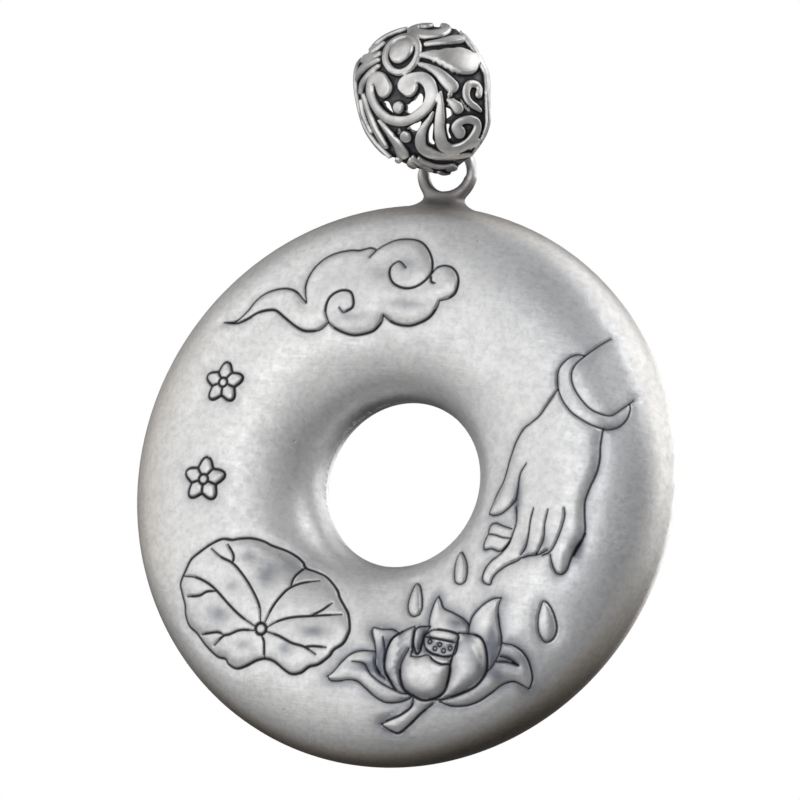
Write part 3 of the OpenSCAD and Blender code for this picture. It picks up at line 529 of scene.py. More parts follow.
def inside_outline(points, outline):
    pick = in_box(points, outline.min(0), outline.max(0))
    x, y = points[pick].T
    odd = np.zeros(len(pick), bool)
    for (ax, ay), (bx, by) in zip(outline, np.roll(outline, -1, axis=0)):
        if ay != by:
            odd ^= ((ay > y) != (by > y)) & (x < (bx - ax) * (y - ay) / (by - ay) + ax)
    out = np.zeros(len(points), bool)
    out[pick] = odd
    return out


def depth_in(points, outline, reach=2.0):
    """Distance to an outline, positive inside it."""
    ring = np.vstack([outline, outline[:1]])
    near = -within(points, np.column_stack([ring, np.zeros(len(ring))]), reach)
    return np.where(inside_outline(points, outline), near, -near)


def hex_grid(low, high, pitch):
    rows = np.arange(low[1], high[1], pitch * math.sqrt(3) / 2)
    x, y = np.meshgrid(np.arange(low[0], high[0], pitch), rows)
    x = x + (np.arange(len(rows)) % 2)[:, None] * pitch / 2
    return np.stack([x.ravel(), y.ravel()], 1)


def thin(layers, cell=0.1):
    """The points of the layers in order, without those closer than their layer's gap to one kept before."""
    kept, grid = [], {}
    for points, gap in layers:
        reach = range(-math.ceil(gap / cell), math.ceil(gap / cell) + 1)
        for x, y in points.tolist():
            i, j = int(x // cell), int(y // cell)
            near = (p for a in reach for b in reach for p in grid.get((i + a, j + b), ()))
            if all((u - x) ** 2 + (v - y) ** 2 >= gap * gap for u, v in near):
                grid.setdefault((i, j), []).append((x, y))
                kept.append((x, y))
    return np.array(kept)


def triangles(points, edges):
    """Points and triangles between them, with the edges kept."""
    made = delaunay_2d_cdt([Vector(p) for p in points.tolist()], edges, [], 0, 1e-7)
    return np.array([tuple(v) for v in made[0]]), np.array(made[2], int)


def step_up(x, low, high):
    t = np.clip((x - low) / (high - low), 0, 1)
    return t * t * (3 - 2 * t)


def bell(x, width):
    return np.exp(-(x / width) ** 2)


def make_piece(name, points, faces, layers):
    """An object in metres from points in millimetres, with a value for each point in each layer."""
    mesh = bpy.data.meshes.new(name)
    mesh.from_pydata((points * MM).tolist(), [], faces)
    mesh.shade_smooth()
    for key, values in layers.items():
        mesh.attributes.new(key, "FLOAT", "POINT").data.foreach_set("value", values)
    mesh.update()
    piece = bpy.data.objects.new(name, mesh)
    bpy.context.scene.collection.objects.link(piece)
    return piece


# The puffed ring


def section(normal):
    """Place across the ring's section and depth to the front, by the angle of the normal from outward."""
    c, s = np.cos(normal), np.sin(normal)
    end = np.abs(c) > math.cos(MEET)
    q = np.where(end, np.sign(c) * END_Q + R_END * c, R_FACE * c)
    return q, np.where(end, R_END * s, HALF_T - R_FACE + R_FACE * s)


def unrolled(rows):
    """Places [x, z] of the face as places in the plane that the section is unrolled on."""
    x, z = np.asarray(rows, float).T
    turn = np.arctan2(z, x)
    q = np.clip(np.hypot(x, z) - R_MID, -HALF_W, HALF_W)
    face = np.arccos(np.clip(q / R_FACE, -1, 1))
    end = np.arccos(np.clip((np.abs(q) - END_Q) / R_END, -1, 1))
    end = np.where(q > 0, end, math.pi - end)
    normal = np.where(np.abs(q) <= MEET_Q, face, end)
    flat = FLAT_IN + np.interp(-normal, -ANGLE_AT, ARC_AT)
    return np.stack([flat * np.cos(turn), flat * np.sin(turn)], 1)


def rolled(points):
    """The normal's angle and the turn round the ring of places in that plane."""
    flat = np.hypot(points[:, 0], points[:, 1])
    return np.interp(flat - FLAT_IN, ARC_AT, ANGLE_AT), np.arctan2(points[:, 1], points[:, 0])


def on_ring(normal, turn, lift):
    """Places on the front, or where the normal's angle is negative on the back, lifted along the normal."""
    q, t = section(np.abs(normal))
    r = R_MID + q + lift * np.cos(normal)
    y = -(np.where(normal < 0, -1, 1) * t + lift * np.sin(normal))
    return np.stack([r * np.cos(turn), y, r * np.sin(turn)], 1) + RING


def blossom_edge(x, z, radius):
    a = np.radians(np.arange(0, 360, 6))
    r = radius * (BLOSSOM_EDGE + BLOSSOM_WAVE * np.cos(PETALS * a))
    return np.stack([x + r * np.sin(a), z + r * np.cos(a)], 1)


def blossom_lines(x, z, radius):
    edge = blossom_edge(x, z, radius)
    out = [np.vstack([edge, edge[:1]]), loop(x, z, BLOSSOM_HEART * radius)]
    for k in range(PETALS):
        a = 2 * math.pi * (k + 0.5) / PETALS
        spoke = [[x + f * radius * math.sin(a), z + f * radius * math.cos(a)] for f in BLOSSOM_SPOKE]
        out.append(smooth(spoke))
    return out


def engraved_lines():
    """All engraved lines in the plane, as [x, y, width], narrower at their free ends."""
    charted = [(smooth(rows), wide, True) for table, wide in OPEN_LINES for rows in table]
    charted.append((smooth(LEAF_EDGE, closed=True), LEAF_WIDE, False))
    charted.append((loop(*LEAF_KNOB), 1.0, False))
    charted += [(smooth(rows, closed=True), DROP_WIDE, False) for rows in DROP_EDGES]
    charted += [(rows, BLOSSOM_WIDE, False) for b in BLOSSOMS for rows in blossom_lines(*b)]
    charted += [(loop(x, z, SEED_R, 0.08), SEED_WIDE, False) for x, z in SEEDS]
    lines = []
    for rows, wide, taper in charted:
        flat = unrolled(rows)
        along = np.linspace(0, 1, len(flat))
        fade = TIP_WIDE + TIP_GAIN * step_up(np.minimum(along, 1 - along), 0, TIP_SHARE) if taper else 1.0
        lines.append(np.column_stack([flat, 2 * LINE_HALF * wide * fade * np.ones(len(flat))]))
    return lines


def raised_outlines():
    """Outlines in the plane with their rise, the width of their rounded shoulder and their halo of painted
    shade.
    """
    out = [(smooth(rows, closed=True), *form) for table, *form in RAISED for rows in table]
    out += [(blossom_edge(*b), *BLOSSOM_FORM) for b in BLOSSOMS]
    return [(unrolled(outline), *form) for outline, *form in out]


def face_relief(points, lines, raised):
    """Height over the plain face, how inked each place is and how much painted shade it gets."""
    body, painted_shade_and_stain = np.zeros(len(points)), np.zeros(len(points))
    ground = np.full(len(points), 9.0)
    normal, turn = rolled(points)
    r = R_MID + section(normal)[0]
    x, z = r * np.cos(turn), r * np.sin(turn)
    arm = 1 - step_up(ARM_WAY[0] * x + ARM_WAY[1] * z, *ARM_FADE)
    for outline, rise, shoulder, halo in raised:
        d = depth_in(points, outline)
        out = np.maximum(-d, 0)
        body = np.maximum(body, rise * np.tanh(1.4 * np.maximum(d, 0) / shoulder) * arm)
        ground = np.minimum(ground, out)
        # Painted shade: a blue halo on the ground round what stands up
        painted_shade_and_stain = np.maximum(painted_shade_and_stain, halo * bell(out, 0.35 + 0.5 * halo) * (d < 0.05) * arm)
    d = np.max([within(points, line, 2.0) for line in lines], axis=0)
    off = np.maximum(-d, 0)
    height = body - ROLL_DEPTH * bell(off, ROLL_W) - DIP_DEPTH * bell(ground, DIP_W) * (ground > 0) * arm
    height -= GROOVE * step_up(d, *GROOVE_SIDE)
    # Painted shade beside the engraved lines
    painted_shade_and_stain += 0.2 * bell(off, 0.1) + 0.06 * bell(off, ROLL_W)
    for dx, dz, half_x, half_z, deep, dark in DENTS:
        g = np.exp(-((x - dx) / half_x) ** 2 - ((z - dz) / half_z) ** 2)
        height -= deep * g
        # Painted shade in the soft hollows
        painted_shade_and_stain += DENT_PAINTED_SHADE * dark * g
    return height, step_up(d, *INK_SIDE), np.clip(painted_shade_and_stain, 0, 1)


def facing(turn, degrees, low, high):
    """How far a place round the ring lies towards a direction on the face."""
    return step_up(np.cos(turn - math.radians(degrees)), low, high)


def tints_and_painted_shade(normal, turn):
    """How much warmer tint, painted cool shade tint and painted shade each place on the ring gets."""
    # Directions are degrees round the face from its right, and what follows them are cosines
    out = np.cos(normal)
    lower = facing(turn, 280, 0.3, 0.85)
    # A warmer tint at the outer rim, most at the bottom and the top, and across the left
    warm = step_up(out, 0.6, 0.9) * (0.3 + 0.7 * lower + 0.5 * facing(turn, 90, 0.85, 1.0))
    warm = np.maximum(warm, 0.8 * facing(turn, 180, 0.75, 1.0) * step_up(out, 0.2, 0.6))
    # Painted cool tint for the shaded band on the right of the face's outer slope
    painted_cool_shade = bell(np.degrees(normal) - 68, 16) * facing(turn, 15, 0.2, 0.8)
    # Painted shade: the outer rim darker towards the bottom, the upper left and the left
    painted_shade = np.maximum(lower, 0.5 * facing(turn, 120, 0.5, 0.95)) * step_up(out, 0.65, 0.98)
    painted_shade = np.maximum(painted_shade, 0.6 * facing(turn, 165, 0.1, 0.7) * step_up(out, 0.75, 0.88))
    return np.clip(warm, 0, 1), painted_cool_shade, painted_shade


def face_net(lines, raised):
    """The face as triangles in the plane, finer at its lines and figures, its rims' points first."""
    rng = np.random.default_rng(SEED)
    a = 2 * math.pi * np.arange(TURNS) / TURNS
    circle = np.stack([np.cos(a), np.sin(a)], 1)
    rims = np.vstack([FLAT_OUT * circle, FLAT_IN * circle])
    edges = [(rim + i, rim + (i + 1) % TURNS) for rim in (0, TURNS) for i in range(TURNS)]
    layers = [(rims, 0.0), (np.vstack([line[:, :2] for line in lines]), 0.06)]
    # Rows of points at and beside the edges of every line, each with its gap
    for out, gap in ((0, 0.055), (0.075, 0.06), (0.2, 0.1)):
        layers.append((np.vstack([spread(line, line[:, 2] / 2 + out, 0.1) for line in lines]), gap))
    box = [-FLAT_OUT, -FLAT_OUT], [FLAT_OUT, FLAT_OUT]
    medium, coarse = hex_grid(*box, FACE_PITCH), hex_grid(*box, 2 * FACE_PITCH)
    busy = np.any([depth_in(medium, outline, 0.9) > -0.8 for outline, *_ in raised], axis=0)
    layers += [(medium[busy], 0.15), (coarse + rng.normal(0, 0.02, coarse.shape), 0.3)]
    kept = thin(layers)
    flat = np.hypot(kept[:, 0], kept[:, 1])
    clear = (flat < FLAT_OUT - 0.25) & (flat > FLAT_IN + 0.2)
    clear[:len(rims)] = True
    points, faces = triangles(kept[clear], edges)
    centre = np.hypot(*points[faces].mean(1).T)
    return points, faces[(centre > FLAT_IN * 0.9995) & (centre < FLAT_OUT)]


def ring_body():
    lines, raised = engraved_lines(), raised_outlines()
    points, faces = face_net(lines, raised)
    height, ink, painted_shade_and_stain = face_relief(points, lines, raised)
    height *= step_up(np.hypot(points[:, 0], points[:, 1]), FLAT_IN, FLAT_IN + 0.3)
    normal, turn = rolled(points)
    # The plain back, in rows round the ring from its outer to its inner rim
    back_normal = np.repeat(math.pi * np.arange(1, BACK_ROWS) / BACK_ROWS, TURNS)
    back_turn = np.tile(2 * math.pi * np.arange(TURNS) / TURNS, BACK_ROWS - 1)
    plain = np.zeros(len(back_turn))
    front, back = on_ring(normal, turn, height), on_ring(-back_normal, back_turn, plain)
    rim = np.arange(TURNS)
    rows = np.vstack([rim, len(front) + np.arange(len(back)).reshape(-1, TURNS), TURNS + rim])
    ahead = np.roll(rows, -1, axis=1)
    quads = np.stack([rows[:-1], rows[1:], ahead[1:], ahead[:-1]], -1).reshape(-1, 4)
    warm, painted_cool_shade, painted_shade = tints_and_painted_shade(np.append(normal, back_normal), np.append(turn, back_turn))
    return make_piece("ring_body", np.vstack([front, back]), faces.tolist() + quads.tolist(),
                      # Blue painted shade beside the figures, lines and dents
                      {"ink": np.append(ink, plain), "painted_shade_and_stain": np.append(painted_shade_and_stain, plain),
                       # Brown painted shade on the ring, a share of its painted shade
                       "warm": 0.12 * painted_shade, "warmer_rim": warm, "painted_cool_shade": painted_cool_shade, "painted_shade": painted_shade})


# The neck and its eye


def surface_net(field, low, step):
    """Closed surface where a field on a grid passes through nought, negative inside."""
    cells = tuple(n - 1 for n in field.shape)
    total, count = np.zeros(cells + (3,)), np.zeros(cells)
    for axis in range(3):
        others = [m for m in range(3) if m != axis]
        for shift in ((0, 0), (0, 1), (1, 0), (1, 1)):
            ends = []
            for along in (0, 1):
                at = np.insert(shift, axis, along)
                ends.append(field[tuple(slice(s, s + n) for s, n in zip(at, cells))])
            f0, f1 = ends
            crosses = (f0 < 0) != (f1 < 0)
            total[..., axis] += np.where(crosses, f0 / np.where(f0 == f1, 1, f0 - f1), 0)
            total[..., others] += crosses[..., None] * np.array(shift)
            count += crosses
    live = count > 0
    number = np.full(cells, -1)
    number[live] = np.arange(live.sum())
    points = (np.argwhere(live) + total[live] / count[live][:, None]) * step + low
    faces, unit = [], np.eye(3, dtype=int)
    for axis in range(3):
        u, v = (axis + 1) % 3, (axis + 2) % 3
        f0 = np.take(field, range(field.shape[axis] - 1), axis)
        f1 = np.take(field, range(1, field.shape[axis]), axis)
        at = np.argwhere((f0 < 0) != (f1 < 0))
        at = at[(at[:, u] > 0) & (at[:, v] > 0) & (at[:, u] < cells[u]) & (at[:, v] < cells[v])]
        around = [at - unit[u] - unit[v], at - unit[v], at, at - unit[u]]
        quads = np.stack([number[tuple(c.T)] for c in around], 1)
        back = f0[tuple(at.T)] >= 0
        quads[back] = quads[back, ::-1]
        faces += quads.tolist()
    return points, faces


def blended(a, b, k):
    """The union of two solids, given by their distances, that flow together over k."""
    h = np.clip(0.5 + 0.5 * (b - a) / k, 0, 1)
    return b + (a - b) * h - k * h * (1 - h)


def eye_and_neck():
    low = np.array([-3.3, -2.9, 18.7])
    high = [3.3, 2.9, EYE_Z + EYE_R + WIRE + 0.2]
    x, y, z = np.meshgrid(*[np.arange(a, b, NET_STEP) for a, b in zip(low, high)], indexing="ij")
    from_eye = np.hypot(x, z - EYE_Z)
    eye = np.hypot(from_eye - EYE_R, y) - WIRE
    heights, wide, deep = np.array(NECK).T
    half_x, half_y = np.interp(z, heights, wide), np.interp(z, heights, deep)
    web = (np.sqrt((x / half_x) ** 2 + (y / half_y) ** 2) - 1) * half_y
    web = np.maximum(np.maximum(web, EYE_R - WIRE - from_eye), z - heights[-1])
    ring = np.hypot(np.hypot(x, z) - (R_MID + END_Q), y) - R_END + RIM_INSET
    solid = blended(blended(eye, web, EYE_BLEND), ring, NECK_BLEND)
    a, b, c = NECK_REACH
    solid = np.maximum(solid, b * np.sqrt((x / a) ** 2 + (y / b) ** 2 + ((z - NECK_MIDDLE) / c) ** 2) - b)
    points, faces = surface_net(solid, low, NET_STEP)
    stain = step_up(points[:, 2], 19.4, 20.4) * step_up(-points[:, 2], -22.6, -21.2)
    piece = make_piece("ring_eye", points + RING, faces,
                       {"ink": 0 * stain, "painted_shade_and_stain": 0.55 * stain, "warm": stain})
    soften = piece.modifiers.new("soften", "SMOOTH")
    soften.factor = 0.5
    soften.iterations = 4
    return piece


# The scroll bail


def drop(x):
    """How far the crowned shell has come down at a place beside its middle."""
    return CROWN_R - np.sqrt(np.maximum(CROWN_R ** 2 - x ** 2, 0.01))


def skin(x, q):
    """The shell's skin in the hoop's own frame, by the place beside its middle and the angle."""
    x, q = np.broadcast_arrays(np.asarray(x, float), np.asarray(q, float))
    k = np.radians(q - PATTERN_TWIST * x + PATTERN_START)
    s, c = np.sin(k), np.cos(k)
    reach = np.where(s > 0, HOOP_FRONT, HOOP_BACK)
    return np.stack([x, -HOOP_FORE - (reach - DROP_DEPTH * drop(x)) * s,
                     HOOP_Z + (HOOP_A - DROP_HEIGHT * drop(x)) * c - HOOP_SKEW * x], -1)


def outward(x, q):
    run = skin(x + 0.02, q) - skin(x - 0.02, q)
    turn = skin(x, q + 0.5) - skin(x, q - 0.5)
    n = np.cross(turn, run)
    return n / np.linalg.norm(n, axis=-1, keepdims=True)


def hung(points):
    """From the hoop's own frame to the part's: turned, leant and set in the eye."""
    p = points + [SHIFT, 0, 0]
    x = p[:, 0] * math.cos(TURN) + p[:, 1] * math.sin(TURN)
    y = p[:, 1] * math.cos(TURN) - p[:, 0] * math.sin(TURN)
    return np.stack([x * math.cos(LEAN) - p[:, 2] * math.sin(LEAN), y,
                     x * math.sin(LEAN) + p[:, 2] * math.cos(LEAN)], 1) + EYE


def side_at(q, column):
    """Half width of the shell on its left (column 1) or right (column 2)."""
    table = np.array(SIDES)
    total = 0
    for near in (-4, -2, 0, 2, 4):
        total = total + np.interp((q + near) % 360, table[:, 0], table[:, column])
    return total / 5


def narrowing(x):
    """How much shorter the way round the hoop is beside its middle."""
    return 1 - 0.5 * (DROP_HEIGHT / HOOP_A + DROP_DEPTH / HOOP_FRONT) * drop(x)


# The shell is worked out in a plane that keeps its angles: lengths there are the real ones over
# the narrowing. Round the hoop DEGREES go with LENGTHS, from SEAM to SEAM again, and beside its
# middle COLUMNS with ACROSS.
SEAM = -100.0
DEGREES = np.linspace(SEAM, SEAM + 360, 1441)
LENGTHS = np.append(0, np.cumsum(np.linalg.norm(np.diff(skin(0.0, DEGREES), axis=0), axis=1)))
COLUMNS = np.linspace(-5.2, 5.2, 417)
SLOPE = 0.5 * (DROP_DEPTH + DROP_HEIGHT) * COLUMNS / np.sqrt(CROWN_R ** 2 - COLUMNS ** 2)
STEPS = np.hypot(1, SLOPE) / narrowing(COLUMNS) * (COLUMNS[1] - COLUMNS[0])
MIDDLE = len(COLUMNS) // 2
ACROSS = np.cumsum(STEPS) - STEPS[:MIDDLE + 1].sum() + STEPS[MIDDLE] / 2


def laid(rows):
    """Rows of [x, angle, width] of the hoop as rows of the plane."""
    rows = np.array(rows, float)
    if rows.shape[1] > 2:
        rows[:, 2] /= narrowing(rows[:, 0])
    rows[:, 0] = np.interp(rows[:, 0], COLUMNS, ACROSS)
    rows[:, 1] = np.interp(rows[:, 1], DEGREES, LENGTHS)
    return rows


def narrowing_at(points):
    return narrowing(np.interp(points[:, 0], ACROSS, COLUMNS))


def stroke_lines():
    """Every scroll, bead, rim and boss as a line in the plane, with its width."""
    rows = [smooth(laid(s)) for s in SCROLLS]
    rows += [laid([[x - 0.02, q, w], [x + 0.02, q, w]]) for x, q, w in BEADS]
    for x, q, half_x, half_q, lean, w in BOSS:
        a = np.linspace(0, 2 * math.pi, 73)
        ring = [x + half_x * np.cos(a), q + half_q * np.sin(a) + lean * np.cos(a), w + 0 * a]
        rows.append(laid(np.stack(ring, 1)))
    for first, last, side, inset, w in RIMS:
        q = np.arange(first, last + 1, 3.0)
        # Half as wide at its ends
        ends = step_up(np.minimum(q - first, last - q), -3, 12)
        half = side_at(q, 2 if side > 0 else 1)
        rows.append(laid(np.stack([side * (half - inset), q, w * (0.5 + 0.5 * ends)], 1)))
    return rows


def nearest(points, lines):
    """Real distance in from the outline of the nearest line."""
    return np.max([within(points, line, 1.0) for line in lines], axis=0) * narrowing_at(points)


def widened(outline, share):
    middle = outline.mean(0)
    return middle + share * (outline - middle)


def shell_net(lines):
    """The shell as triangles in the plane, without its gaps and joined at its seam."""
    q = np.arange(SEAM, SEAM + 360.1, 1.5)
    filed = FILED * bell(q - FILED_AT, FILED_SPAN)
    left, right = [laid(np.stack([x, q], 1)) for x in (filed - side_at(q, 1), side_at(q, 2))]
    v = left[:, 1]
    seam_x = np.linspace(left[0, 0], right[0, 0], 16)[1:-1]
    first, last = [np.stack([seam_x, np.full(len(seam_x), end)], 1) for end in (v[0], v[-1])]
    edge = np.vstack([left, last, right[::-1], first[::-1]])
    gaps = [smooth(laid(g), 0.12, closed=True)[:, :2] for g in GAPS]
    outer_gaps, inner_gaps = [[widened(g, share) for g in gaps] for share in (GAP_OUTER, GAP_INNER)]
    layers = [(edge, 0.0), (np.vstack(outer_gaps), 0.05)]
    # Rows of points along the sides of every scroll, each with its gap
    for out, gap in ((FOOT, 0.05), (BROW, 0.05), (-0.12, 0.06), (0.13, 0.07)):
        p = np.vstack([spread(line, np.maximum(line[:, 2] / 2 - out / narrowing_at(line), 0), 0.09)
                       for line in lines])
        layers.append((p[np.abs(nearest(p, lines) - out) < 0.02], gap))
    grid = hex_grid([ACROSS[0], v[0]], [ACROSS[-1], v[-1]], SHELL_PITCH)
    layers += [(np.vstack(inner_gaps), 0.07), (np.vstack([line[:, :2] for line in lines]), 0.1), (grid, 0.15)]
    kept = thin(layers)

    def between(p, room):
        x, y = p.T
        return (x > np.interp(y, v, left[:, 0]) + room) & (x < np.interp(y, v, right[:, 0]) - room)

    clear = between(kept, EDGE_ROOM) & (kept[:, 1] > v[0] + EDGE_ROOM) & (kept[:, 1] < v[-1] - EDGE_ROOM)
    clear[:len(edge)] = True
    points, faces = triangles(kept[clear], [(i, (i + 1) % len(edge)) for i in range(len(edge))])
    mid = points[faces].mean(1)
    keep, on_ground = between(mid, 0), nearest(mid, lines) < FOOT / 2
    over_gap = np.zeros(len(points), bool)
    for outer, inner in zip(outer_gaps, inner_gaps):
        keep &= ~(inside_outline(mid, outer) & on_ground)
        over_gap |= inside_outline(points, inner)
    # The strip's last end is joined to its first
    n, m = len(left), len(seam_x)
    same = np.arange(len(points))
    same[n - 1:n + m + 1] = [0, *range(len(edge) - 1, len(edge) - 1 - m, -1), n + m + len(right) - 1]
    used, faces = np.unique(same[faces[keep]], return_inverse=True)
    return points[used], faces.reshape(-1, 3), nearest(points, lines)[used], over_gap[used]


def bail_shell():
    points, faces, d, over_gap = shell_net(stroke_lines())
    x, angle = np.interp(points[:, 0], ACROSS, COLUMNS), np.interp(points[:, 1], LENGTHS, DEGREES)
    rise = step_up(d, FOOT, BROW)
    strap = np.maximum(step_up(angle, *STRAP_START), step_up(-angle, *STRAP_END))
    ground = GROUND_H * (1 - step_up(angle, *GROUND_SINKS))
    crown = CROWN_H * np.sin(math.pi / 2 * np.clip(d / CROWN_W, 0, 1))
    height = ground + (SCROLL_H - ground) * rise + crown
    height *= 1 - SINK_SHARE * step_up(angle, *RELIEF_SINKS)
    thick = SHELL_T + BEARING_EXTRA * np.maximum(0, 1 - ((angle - 180) / BEARING_SPAN) ** 2)
    thick = np.where(over_gap, SINK, thick)
    base, n = skin(x, angle), outward(x, angle)
    both = np.vstack([base + n * height[:, None], base - n * thick[:, None]])
    count = len(points)
    sides = dict.fromkeys((f[k - 1], f[k]) for f in faces.tolist() for k in (1, 2, 0))
    walls = [(b, a, a + count, b + count) for a, b in sides if (b, a) not in sides]
    shell = faces.tolist() + (faces[:, ::-1] + count).tolist() + walls
    return make_piece("bail_shell", hung(both), shell,
                      {"ground": np.append((1 - rise) * (1 - 0.9 * strap), 0.42 - 0.2 * strap),
                       "open": np.append(np.clip(-d / 0.4, 0, 1), np.ones(count))})


# Materials


def blank(name):
    """A material with nothing but its shader."""
    material = bpy.data.materials.new(name)
    material.use_nodes = True
    tree = material.node_tree
    tree.nodes.clear()
    out = tree.nodes.new("ShaderNodeOutputMaterial")
    shader = tree.nodes.new("ShaderNodeBsdfPrincipled")
    tree.links.new(shader.outputs[0], out.inputs[0])
    return material, tree, shader


def fill(tree, made, **inputs):
    """Sets a node's sockets, named with _ for a blank or numbered i0, i1, to values or other sockets."""
    for key, value in inputs.items():
        numbered = key[0] == "i" and key[1:].isdigit()
        socket = made.inputs[int(key[1:]) if numbered else key.replace("_", " ")]
        if isinstance(value, bpy.types.NodeSocket):
            tree.links.new(value, socket)
        else:
            socket.default_value = value


def node(tree, kind, props=None, **inputs):
    made = tree.nodes.new("ShaderNode" + kind)
    for key, value in (props or {}).items():
        setattr(made, key, value)
    fill(tree, made, **inputs)
    return made


def attribute(tree, name):
    return node(tree, "Attribute", {"attribute_name": name}).outputs["Fac"]


def mixed(tree, share, first, second, how="MIX"):
    a, b = [c if isinstance(c, bpy.types.NodeSocket) else (*c, 1) for c in (first, second)]
    return node(tree, "Mix", {"data_type": "RGBA", "blend_type": how}, i0=share, i6=a, i7=b).outputs[2]


def ranged(tree, value, low, high, to_low=0.0, to_high=1.0):
    return node(tree, "MapRange", Value=value, From_Min=low, From_Max=high,
                To_Min=to_low, To_Max=to_high).outputs[0]


def maths(tree, how, first, second):
    return node(tree, "Math", {"operation": how}, i0=first, i1=second).outputs[0]


def summed(tree, *parts):
    """The sum of sockets, each taken with its weight."""
    total = 0.0
    for value, weight in parts:
        total = maths(tree, "ADD", total, maths(tree, "MULTIPLY", value, weight))
    return total


def noise(tree, place, scale, detail, rough=0.55):
    return node(tree, "TexNoise", Vector=place, Scale=scale, Detail=detail, Roughness=rough).outputs[0]


def scratched(tree, place, turn, scale):
    """Fine lines in one direction."""
    along = node(tree, "Mapping", Vector=place, Rotation=turn, Scale=scale).outputs[0]
    return noise(tree, along, 1.0, 3.0, 0.6)


def metal(tree, shader, base, rough, height, strength):
    bump = node(tree, "Bump", Height=height, Strength=strength, Distance=MARK_DEPTH)
    fill(tree, shader, Base_Color=base, Roughness=rough, Metallic=1.0, Normal=bump.outputs[0])


def satin_silver():
    material, tree, shader = blank("satin_silver_worked")
    place = node(tree, "TexCoord").outputs["Object"]
    ink = attribute(tree, "ink")
    broad = noise(tree, place, 70.0, 3.0)
    mottle = noise(tree, place, 1100.0, 5.0, 0.7)
    grain = noise(tree, place, 2600.0, 4.0, 0.6)
    one = scratched(tree, place, (0.3, 0.9, 0.2), (260.0, 5200.0, 5200.0))
    two = scratched(tree, place, (0.1, -0.5, 0.4), (220.0, 6400.0, 6400.0))
    pit = node(tree, "TexVoronoi", Vector=place, Scale=620.0).outputs["Distance"]
    rare = ranged(tree, noise(tree, place, 300.0, 2.0), 0.58, 0.62)
    pits = maths(tree, "MULTIPLY", ranged(tree, pit, 0.03, 0.08, 1.0, 0.0), rare)
    base = mixed(tree, ranged(tree, broad, 0.35, 0.65), DULL_SILVER, BRIGHT_SILVER)
    base = mixed(tree, ranged(tree, mottle, 0.42, 0.65, 0.0, 0.22), base, (0.52, 0.51, 0.515))
    base = mixed(tree, ranged(tree, grain, 0.45, 0.62, 0.0, 0.3), base, (0.5, 0.5, 0.505))
    # Multiplied in: a warmer rim tint, a painted cool tint for a shaded band, and painted shade on the rim
    for name, colour in (("warmer_rim", WARMER_RIM_TINT), ("painted_cool_shade", PAINTED_COOL_SHADE_TINT), ("painted_shade", PAINTED_SHADE_TINT)):
        base = mixed(tree, attribute(tree, name), base, colour, "MULTIPLY")
    # Laid over the silver: on the ring, brown and blue painted shade; on the neck, a brown and blue stain;
    # then pits and ink
    stains_and_painted_shade = ((attribute(tree, "warm"), WARM_STAIN_AND_SHADE), (attribute(tree, "painted_shade_and_stain"), PAINTED_SHADE_AND_STAIN),
              (maths(tree, "MULTIPLY", pits, 0.5), (0.2, 0.19, 0.18)), (ink, INK))
    for share, colour in stains_and_painted_shade:
        base = mixed(tree, share, base, colour)
    rough = summed(tree, (ranged(tree, mottle, 0.3, 0.7, 0.36, 0.48), 1.0),
                   (ranged(tree, one, 0.45, 0.7), 0.06), (ink, 0.25))
    height = summed(tree, (grain, 0.35), (one, 0.5), (two, 0.4), (mottle, 1.6), (pits, -1.5))
    metal(tree, shader, base, rough, height, 0.6)
    return material


def oxidised_silver():
    material, tree, shader = blank("oxidised_silver_worked")
    place = node(tree, "TexCoord").outputs["Object"]
    mottle = noise(tree, place, 900.0, 5.0, 0.6)
    grain = noise(tree, place, 3200.0, 4.0, 0.6)
    one = scratched(tree, place, (0.6, 0.2, 1.1), (400.0, 6000.0, 6000.0))
    worn = maths(tree, "ADD", attribute(tree, "ground"), ranged(tree, mottle, 0.3, 0.7, -0.12, 0.12))
    dark = ranged(tree, worn, 0.25, 0.7)
    clean = mixed(tree, ranged(tree, mottle, 0.35, 0.7), (0.82, 0.81, 0.8), (0.57, 0.565, 0.56))
    soot = mixed(tree, ranged(tree, mottle, 0.4, 0.65), (0.085, 0.085, 0.092), (0.23, 0.23, 0.24))
    # Blackest close beside the scrolls
    beside = ranged(tree, attribute(tree, "open"), 0.15, 0.7, 1.0, 0.0)
    soot = mixed(tree, beside, soot, (0.028, 0.028, 0.032))
    height = summed(tree, (grain, 0.4), (one, 0.4), (mottle, 1.2))
    metal(tree, shader, mixed(tree, dark, clean, soot), ranged(tree, dark, 0.0, 1.0, 0.37, 0.6), height, 0.4)
    return material


def floor_paint():
    material, tree, shader = blank("pale_floor")
    place = node(tree, "TexCoord").outputs["Object"]
    base = mixed(tree, noise(tree, place, 6.0, 3.0), (0.8, 0.8, 0.8), (0.84, 0.84, 0.83))
    fill(tree, shader, Base_Color=base, Roughness=0.8)
    return material


# Studio


def towards(azimuth, elevation):
    """A direction, by its angle from the front to the right and its angle up, in degrees."""
    a, e = math.radians(azimuth), math.radians(elevation)
    return math.sin(a) * math.cos(e), -math.cos(a) * math.cos(e), math.sin(e)


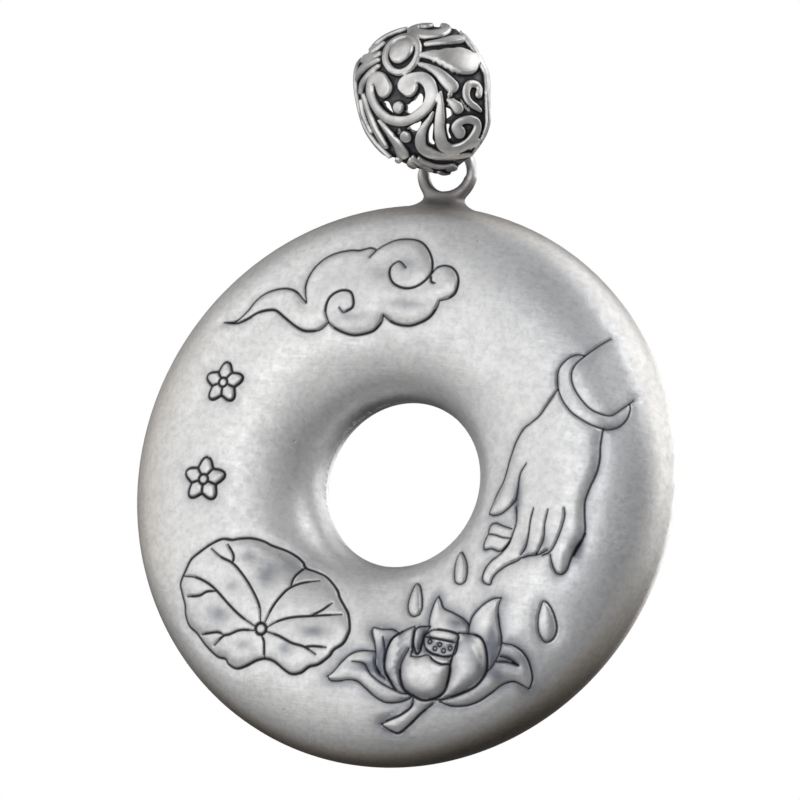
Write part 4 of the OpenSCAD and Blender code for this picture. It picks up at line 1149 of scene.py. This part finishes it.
def set_camera():
    out = np.array(towards(AZIMUTH, ELEVATION))
    level = np.array([math.cos(math.radians(AZIMUTH)), math.sin(math.radians(AZIMUTH)), 0])
    plumb = np.cross(out, level)
    right = math.cos(ROLL) * level + math.sin(ROLL) * plumb
    up = -math.sin(ROLL) * level + math.cos(ROLL) * plumb
    half = FRAME_PX / 2
    eye = RING + DISTANCE * out
    target = RING + right * (half - CENTRE_PX[0]) / PX_PER_MM + up * (CENTRE_PX[1] - half) / PX_PER_MM
    back = Vector(eye - target).normalized()
    side = Vector(up).cross(back).normalized()
    camera = bpy.data.cameras.new("photo_camera")
    camera.sensor_width = SENSOR
    camera.lens = PX_PER_MM * DISTANCE / FRAME_PX * SENSOR
    camera.clip_start = 0.01
    camera.clip_end = 10
    holder = bpy.data.objects.new("photo_camera", camera)
    turned = Matrix((side, back.cross(side), back)).transposed().to_4x4()
    holder.matrix_world = Matrix.Translation(Vector(eye) * MM) @ turned
    bpy.context.scene.collection.objects.link(holder)
    bpy.context.scene.camera = holder


def set_lights():
    """Soft boxes and a dim room as the surfaces see them, and white paper as the camera sees it."""
    world = bpy.data.worlds.new("studio")
    bpy.context.scene.world = world
    world.use_nodes = True
    tree = world.node_tree
    tree.nodes.clear()
    way = node(tree, "TexCoord").outputs["Generated"]
    height = node(tree, "SeparateXYZ", Vector=way).outputs[2]
    total = ranged(tree, height, -1.0, 1.0, ROOM_LOW, ROOM_HIGH)
    for azimuth, elevation, half, brightness in BOXES:
        dot = node(tree, "VectorMath", {"operation": "DOT_PRODUCT"}, i0=way, i1=towards(azimuth, elevation))
        edge, core = math.cos(math.radians(half)), math.cos(math.radians(BOX_CORE * half))
        box = node(tree, "MapRange", {"interpolation_type": "SMOOTHSTEP"}, Value=dot.outputs["Value"],
                   From_Min=edge, From_Max=core, To_Min=0.0, To_Max=brightness)
        total = maths(tree, "ADD", total, box.outputs[0])
    room = node(tree, "Background", Color=(1, 1, 1, 1), Strength=total)
    paper = node(tree, "Background", Color=(1, 1, 1, 1), Strength=1.0)
    seen = node(tree, "LightPath").outputs["Is Camera Ray"]
    both = node(tree, "MixShader", i0=seen, i1=room.outputs[0], i2=paper.outputs[0])
    out = tree.nodes.new("ShaderNodeOutputWorld")
    tree.links.new(both.outputs[0], out.inputs[0])
    bpy.context.scene.view_settings.view_transform = "Standard"
    bpy.context.scene.view_settings.look = "None"


def set_floor():
    bpy.ops.mesh.primitive_circle_add(vertices=96, radius=0.6, fill_type="NGON", location=(0, 0, -0.2))
    floor = bpy.context.object
    floor.name = "floor"
    floor.data.materials.append(floor_paint())
    floor.visible_glossy = False


def build():
    set_camera()
    silver, oxidised = satin_silver(), oxidised_silver()
    body, neck, bail = ring_body(), eye_and_neck(), bail_shell()
    for piece, material in ((body, silver), (neck, silver), (bail, oxidised)):
        piece.data.materials.append(material)
    for piece in (body, neck):
        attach(piece, "ring")
        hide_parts("pendant_ring")
    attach(bail, "bail")
    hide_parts("scroll_bail")
    set_lights()
    set_floor()


build()
